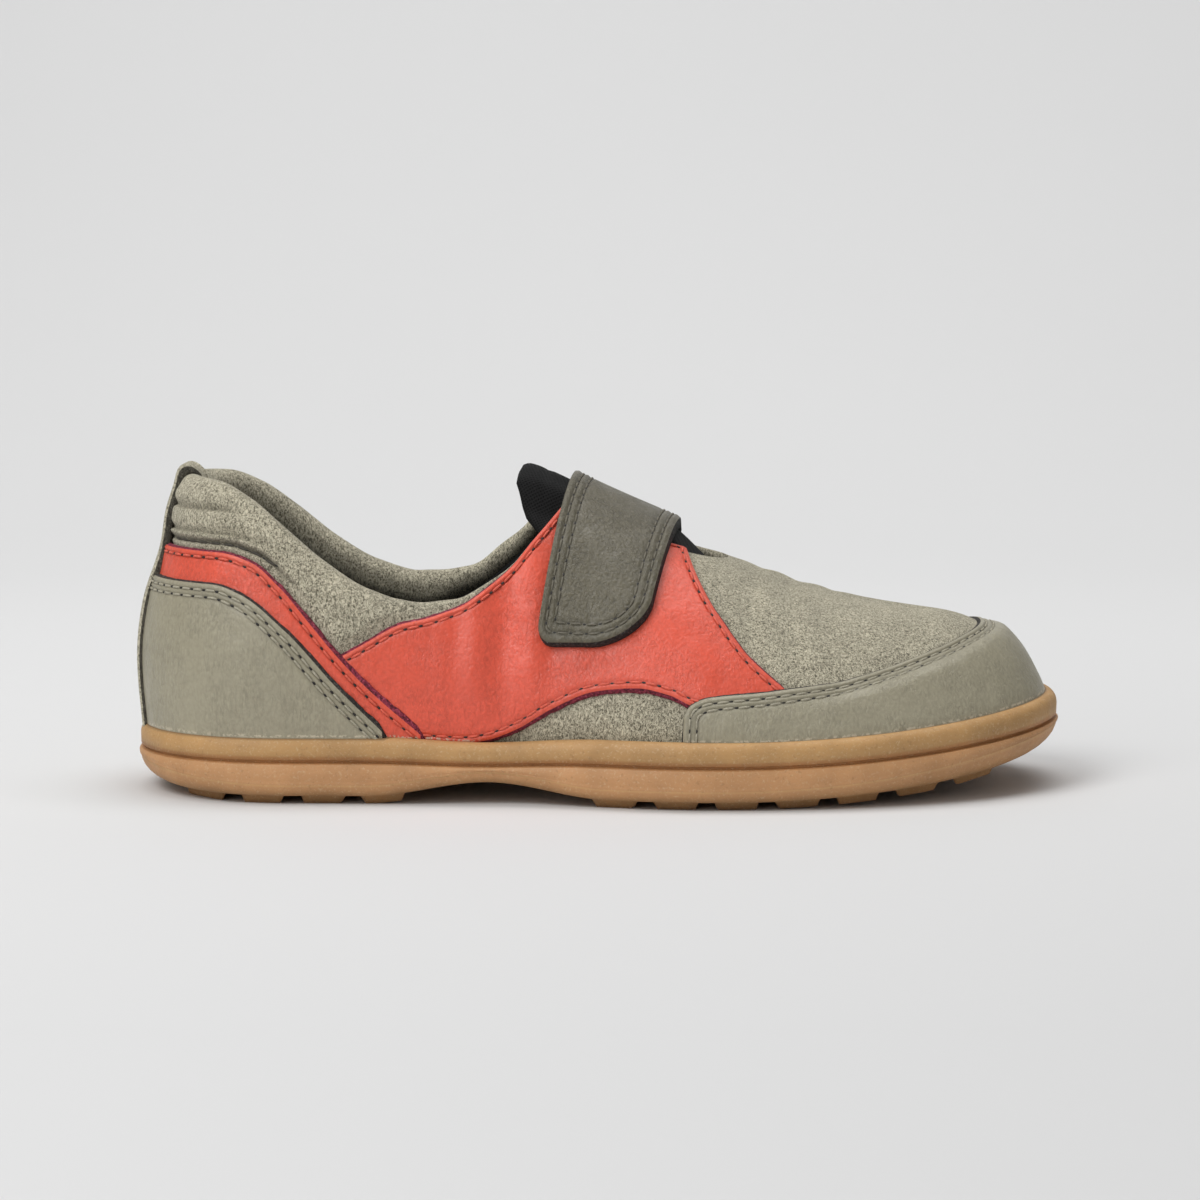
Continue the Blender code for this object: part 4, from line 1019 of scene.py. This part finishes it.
RED_LEATHER = leather("red_leather", (0.745, 0.100, 0.054, 1), (0.15, 0.015, 0.032, 1), (1.3, 1.3, 0.7), 0.5)
RED_THREAD = sewing_thread("red_thread", (0.70, 0.115, 0.068, 1))
for side, name in SIDES:
    places = side_places(side, QUARTER_REAR_X, QUARTER_FRONT_X)
    x = plan(side, places)[0]
    tucked = np.where(x < STRIPE_EDGE[-1].x, column(STRIPE_EDGE, "rise", x) - UNDERLAP, LIP_SINK)
    low = theta_over_lip(side, places, np.maximum(tucked, column(QUARTER_FOOT, "rise", x)))
    head = np.where(x < STRAP_X, column(QUARTER_TOP, "rise", x), column(QUARTER_FRONT, "rise", x))
    high = soft_lower(theta_over_lip(side, places, head), theta_top(side, places) - 0.02, 60)
    back, face = overlay(
        "quarter_" + name, side, places, low, high, QUARTER_OUT - QUARTER_TUCK * ease(58, 48, x), 60,
        [("top", [RED_SEAM]), ("foot", [RED_SEAM])], RED_LEATHER, 0.55,
    )
    sewn = (x > FOOT_SEAM_REAR_X) & (x < FOOT_SEAM_FRONT_X)
    sheets = seam_stitches(back, face, [RED_SEAM], "top")
    sheets += seam_stitches(back[:, sewn], face[:, sewn], [RED_SEAM], "foot")
    make_piece("quarter_stitching_" + name, sheets, RED_THREAD)

    places = side_places(side, plan(side, HEEL_END)[0], STRIPE_FRONT_X)
    x = plan(side, places)[0]
    low = theta_over_lip(side, places, np.maximum(column(COUNTER_EDGE, "rise", x) - UNDERLAP, LIP_SINK))
    high = theta_over_lip(side, places, np.maximum(column(STRIPE_EDGE, "rise", x), 0.6))
    back, face = overlay(
        "stripe_" + name, side, places, low, high, STRIPE_OUT, 30,
        [("top", [RED_SEAM])], RED_LEATHER, 0.55 + 0.55 * ease(18, 30, x),
    )
    sheets = seam_stitches(back, face, [RED_SEAM], "top", skip=3)
    make_piece("stripe_stitching_" + name, sheets, RED_THREAD)


# Stone leather overlays: heel counters and toe cap in smooth grey-olive leather over the suede and the
# stripe, each sewn with two close rows of thread of the same colour along a dark raw edge.
COUNTER_OUT, COUNTER_FRONT_X, CAP_OUT, CAP_REAR_X = 2.5, 40.6, 2.0, 88.2
STONE_SEAMS = (1.0, 2.1)
CAP_EDGE = [
    Edge(88, 3.0), Edge(89, 5.2), Edge(92, 6.4), Edge(100, 6.8), Edge(110, 7.7),
    Edge(120, 9.2), Edge(130, 10.5), Edge(140, 11.1), Edge(147, 11.0),
]
STONE_LEATHER = leather("stone_leather", (0.335, 0.306, 0.218, 1), (0.022, 0.019, 0.016, 1), (1.6, 1.6, 0.5))
STONE_THREAD = sewing_thread("stone_thread", (0.370, 0.342, 0.258, 1))
for side, name in SIDES:
    places = side_places(side, plan(side, HEEL_END)[0], COUNTER_FRONT_X)
    x = plan(side, places)[0]
    low = theta_over_lip(side, places, LIP_SINK)
    high = theta_over_lip(side, places, np.maximum(column(COUNTER_EDGE, "rise", x), 0.4))
    back, face = overlay(
        "counter_" + name, side, places, low, high, COUNTER_OUT, 60,
        [("top", STONE_SEAMS)], STONE_LEATHER, 0.5 + 0.45 * ease(18, 30, x),
    )
    sheets = seam_stitches(back, face, STONE_SEAMS, "top")
    make_piece("counter_stitching_" + name, sheets, STONE_THREAD)

cap_halves = [side_places(side, CAP_REAR_X, SOLE_LENGTH) for side in (LATERAL, MEDIAL)]
side, places = both_sides(*cap_halves)
low = theta_over_lip(side, places, LIP_SINK)
x = plan(side, places)[0]
high = theta_over_lip(side, places, column(CAP_EDGE, "rise", x))
back, face = overlay(
    "toe_cap", side, places, low, high, CAP_OUT - 0.4 * ease(97, 90, x), 44,
    [("ends", STONE_SEAMS)], STONE_LEATHER, 0.4, 1.3 * ease(104, 114, x),
)
sheets = seam_stitches(back, face, STONE_SEAMS, "ends")
make_piece("toe_cap_stitching", sheets, STONE_THREAD)


# Heel strip: a narrow suede strip with thick dark raw edges that covers the back seam from the lip of
# the sole upwards. It is sewn along both edges and turned over the collar's top edge to the inside.
STRIP_THICK, STRIP_SEAM, STRIP_BED = 1.15, 1.4, 0.3
STRIP_LIFT, STRIP_TUCK, STITCHED_PART = 3.15, 0.07, slice(8, -18)
strip_half = np.linspace(STRIP_PLACE, 3, 17)
side, places = both_sides(strip_half, strip_half)
share = np.linspace(0, 1, 90)[:, None]
foot, top = theta_over_lip(side, places, LIP_SINK), theta_top(side, places)
strip_turn = foot + (top - foot) * share
strip_lift = STRIP_LIFT - 1.0 * ease(0.45, 0.72, share) - 0.8 * ease(0.8, 1.0, share)
turned = top * (1 - STRIP_TUCK * np.linspace(0, 1, 6)[1:, None])
strip_faces = []
for depth, inside in ((STRIP_THICK + STRIP_BED, -STRIP_BED), (0.0, STRIP_THICK - STRIP_BED)):
    outer, roll = rolled_rows(side, places, strip_turn, strip_lift - depth, inside)
    tail = form(side, places, turned, -wall_at(side, places, turned) - inside)
    strip_faces.append(np.concatenate([outer, roll[1:], tail]))
back, face = strip_faces
for row in (0, -1):
    relief = seam_relief(edge_distance(face, face[:, row]), [STRIP_SEAM])
    face = face + unit(face - back) * relief[..., None]
make_piece("heel_strip_suede", layer_sheets(back, face, {}, 0.3), STONE_SUEDE, "heel_strip")
sheets = []
for part in ("top", "foot"):
    path, lift = edge_seam(back.transpose(1, 0, 2), face.transpose(1, 0, 2), STRIP_SEAM, part)
    sheets += stitch_sheets(path[STITCHED_PART], lift[STITCHED_PART], thick=0.4, sink=0.2)
make_piece("heel_strip_stitching", sheets, STONE_THREAD)


# Strap: a closing strap of stone leather with a black backing, sewn down on the medial side and
# pressed closed on the lateral quarter. Its leather and its thread are painted darker as shade. Two
# rows of thread follow its edges and its rounded free end.
STRAP_WIDTH, STRAP_THICK = 17.0, 1.75
STRAP_BACK = QUARTER_OUT + 0.15
STRAP_FACE = STRAP_BACK + STRAP_THICK
STRAP_SEAMS = (1.25, 2.65)
StrapEnd = namedtuple("StrapEnd", "lean height rear_radius front_radius")
STRAP_ENDS = {LATERAL: StrapEnd(3.5, 24.5, 2.5, 8.5), MEDIAL: StrapEnd(9.0, 20.5, 2.0, 2.0)}


def strap_turns(side, across):
    """Turn at the straight end of the strap on one side, for each place across it."""
    end = STRAP_ENDS[side]
    return theta_at_height(side, u_at_crest(STRAP_X + across - end.lean), end.height)


def strap_point(side, across, theta, grow):
    """Point of the strap: across its width and up the rib, leaning back as it comes down."""
    lowest = strap_turns(side, np.linspace(-0.5, 0.5, 9) * STRAP_WIDTH).min()
    drop = (1 - np.sin(theta)) / (1 - np.sin(lowest))
    return form(side, u_at_crest(STRAP_X + across - STRAP_ENDS[side].lean * drop), theta, grow)


def strap_run(side):
    """Length of the strap's middle line from its straight end to the crest."""
    theta = np.linspace(strap_turns(side, 0.0), QUARTER_TURN, 60)
    return run_length(strap_point(side, 0.0, theta, STRAP_FACE))[-1]


FREE_RUN, SEWN_RUN = strap_run(LATERAL), strap_run(MEDIAL)
STRAP_RUN = FREE_RUN + SEWN_RUN


def strap_at(across, along, grow):
    """Point of the strap at a length from its free end, over the crest and down to the anchor."""
    points = []
    for side, length, run in ((LATERAL, along, FREE_RUN), (MEDIAL, STRAP_RUN - along, SEWN_RUN)):
        start = strap_turns(side, across)
        theta = start + (QUARTER_TURN - start) * np.clip(length / run, 0, 1)
        points.append(strap_point(side, across, theta, grow))
    return np.where((along <= FREE_RUN)[..., None], points[0], points[1])


def corner_rise(inset, radius):
    """Height of a rounded corner at a distance in from the straight edge."""
    left = np.clip(radius - inset, 0, radius)
    return radius - np.sqrt(radius**2 - left**2)


def strap_inset(across, along):
    """Distance inside the strap's outline, a rectangle with a radius of its own at each corner."""
    half_width, half_run = STRAP_WIDTH / 2, STRAP_RUN / 2
    ends = [np.where(across < 0, end.rear_radius, end.front_radius) for end in STRAP_ENDS.values()]
    radius = np.where(along < half_run, ends[0], ends[1])
    over_x, over_y = np.abs(across) - half_width + radius, np.abs(along - half_run) - half_run + radius
    outside = np.hypot(np.maximum(over_x, 0), np.maximum(over_y, 0))
    return radius - outside - np.minimum(np.maximum(over_x, over_y), 0)


def strap_loop(inset):
    """Closed line at a distance inside the strap's outline: straight runs and quarter circles."""
    free, sewn = STRAP_ENDS.values()
    corners = (
        (-1, -1, free.rear_radius, 180), (1, -1, free.front_radius, 270),
        (1, 1, sewn.front_radius, 0), (-1, 1, sewn.rear_radius, 90),
    )
    line = []
    for hand, far, corner, first in corners:
        radius = max(corner - inset, 0.5)
        turn = np.radians(np.linspace(first, first + 90, 12))
        middle_x = hand * (STRAP_WIDTH / 2 - inset - radius)
        middle_y = STRAP_RUN / 2 + far * (STRAP_RUN / 2 - inset - radius)
        line.append(np.stack([middle_x + radius * np.cos(turn), middle_y + radius * np.sin(turn)], axis=-1))
    line = np.concatenate(line + [line[0][:1]])
    length = run_length(line)
    return read_line(line, length, np.linspace(0, length[-1], 400)).T


across = -np.cos(np.linspace(0, np.pi, 55)) / 2 * STRAP_WIDTH
from_rear, from_front = across + STRAP_WIDTH / 2, STRAP_WIDTH / 2 - across
free_start, sewn_start = (
    np.maximum(corner_rise(from_rear, end.rear_radius), corner_rise(from_front, end.front_radius))
    for end in STRAP_ENDS.values()
)
share = np.linspace(0, 1, 150)[:, None]
share = 0.35 * (1 - np.cos(np.pi * share)) / 2 + 0.65 * share
along = free_start + (STRAP_RUN - sewn_start - free_start) * share
wide = np.broadcast_to(across, along.shape)
inset = strap_inset(wide, along)
face = strap_at(wide, along, STRAP_FACE + seam_relief(inset, STRAP_SEAMS))
back = strap_at(wide, along, STRAP_BACK)
# The strap is the stone leather painted darker: its darker colour is painted shade.
SHADED_STRAP_LEATHER = leather(
    "strap_leather", (0.120, 0.106, 0.069, 1), (0.014, 0.013, 0.012, 1), (1.2, 1.2, 0.8), grained=1.7,
)
marks = {"seam": seam_shade(inset, STRAP_SEAMS)}
make_piece("closing_strap", layer_sheets(back, face, marks, 0.22), SHADED_STRAP_LEATHER, "strap")
sheets = []
for seam in STRAP_SEAMS:
    loop = strap_loop(seam)
    lift = unit(strap_at(*loop, STRAP_FACE) - strap_at(*loop, STRAP_BACK))
    sheets += stitch_sheets(strap_at(*loop, STRAP_FACE - 0.2), lift)
# The strap's thread is painted dark along with it: painted shade.
SHADED_STRAP_THREAD = sewing_thread("shaded_strap_thread", (0.130, 0.117, 0.085, 1))
make_piece("strap_stitching", sheets, SHADED_STRAP_THREAD)


# Studio: a pale seamless sweep, one broad soft light from above and the left, weaker ones from the front,
# the right and the top, two for the sweep itself, and a long lens on the shoe's lateral side, a little
# above it. Sizes here are metres.
FLOOR_GREY = 0.69
SWEEP_HALF, SWEEP_FRONT_Y, SWEEP_BEND_Y, SWEEP_RADIUS, SWEEP_TOP = 4.0, -6.0, 0.35, 0.8, 2.5
SHOE_MIDDLE = (0, 0, 0.02)
CAMERA_RISE, CAMERA_AWAY, CAMERA_AIM, FRAME_WIDTH = np.radians(6.0), 0.70, 0.030, 0.196


def make_sweep():
    """Floor that curves up into a back wall: a flat run, a quarter circle and a straight rise."""
    turn = np.linspace(0, QUARTER_TURN, 24)
    y = SWEEP_BEND_Y + SWEEP_RADIUS * np.sin(turn)
    z = SWEEP_RADIUS - SWEEP_RADIUS * np.cos(turn)
    profile = [(SWEEP_FRONT_Y, 0.0), *zip(y, z), (SWEEP_BEND_Y + SWEEP_RADIUS, SWEEP_TOP)]
    count = len(profile)
    points = [(x, *point) for x in (-SWEEP_HALF, SWEEP_HALF) for point in profile]
    mesh = bpy.data.meshes.new("sweep")
    mesh.from_pydata(points, [], [(k, k + count, k + count + 1, k + 1) for k in range(count - 1)])
    mesh.shade_smooth()
    material, tree, shader = start_material("paper")
    cloud = noise(tree, object_place(tree), 400, 2)
    connect(tree, shader, {
        "Base Color": ramp(tree, cloud, (0.3, FLOOR_GREY * 0.985), (0.7, FLOOR_GREY)),
        "Roughness": 0.9,
        "Specular IOR Level": 0.1,
    })
    mesh.materials.append(material)
    sweep = put_in_scene("sweep", mesh)


def add_light(name, place, target, size, power):
    """A square area light that faces a target."""
    lamp = bpy.data.lights.new(name, "AREA")
    lamp.energy, lamp.size = power, size
    light = put_in_scene(name, lamp)
    light.location = place
    x, y, z = np.subtract(target, place)
    light.rotation_euler = (np.arctan2(np.hypot(x, y), -z), 0, np.arctan2(-x, y))


make_sweep()
add_light("key", (-0.42, -0.50, 0.66), SHOE_MIDDLE, 0.42, 4.4)
add_light("front", (-0.50, -0.80, 0.26), SHOE_MIDDLE, 0.5, 1.3)
add_light("fill", (0.65, -0.55, 0.30), SHOE_MIDDLE, 0.6, 0.35)
add_light("top", (0.08, 0.10, 0.85), SHOE_MIDDLE, 0.6, 1.7)
add_light("backdrop", (0.0, 0.25, 0.95), (0, 1.0, 0.35), 0.9, 6.0)
add_light("far_floor", (0.0, -1.3, 1.1), (0, -2.4, 0), 1.0, 16.0)
world = bpy.data.worlds.new("studio")
world.use_nodes = True
connect(world.node_tree, world.node_tree.nodes["Background"], {"Color": grey(1.0), "Strength": 0.22})
bpy.context.scene.world = world
bpy.context.scene.view_settings.view_transform = "Standard"

lens = bpy.data.cameras.new("camera")
lens.sensor_width = 36.0
lens.lens = lens.sensor_width * CAMERA_AWAY / FRAME_WIDTH
camera = put_in_scene("camera", lens)
camera.location = (0, -CAMERA_AWAY * np.cos(CAMERA_RISE), CAMERA_AIM + CAMERA_AWAY * np.sin(CAMERA_RISE))
camera.rotation_euler = (QUARTER_TURN - CAMERA_RISE, 0, 0)
bpy.context.scene.camera = camera
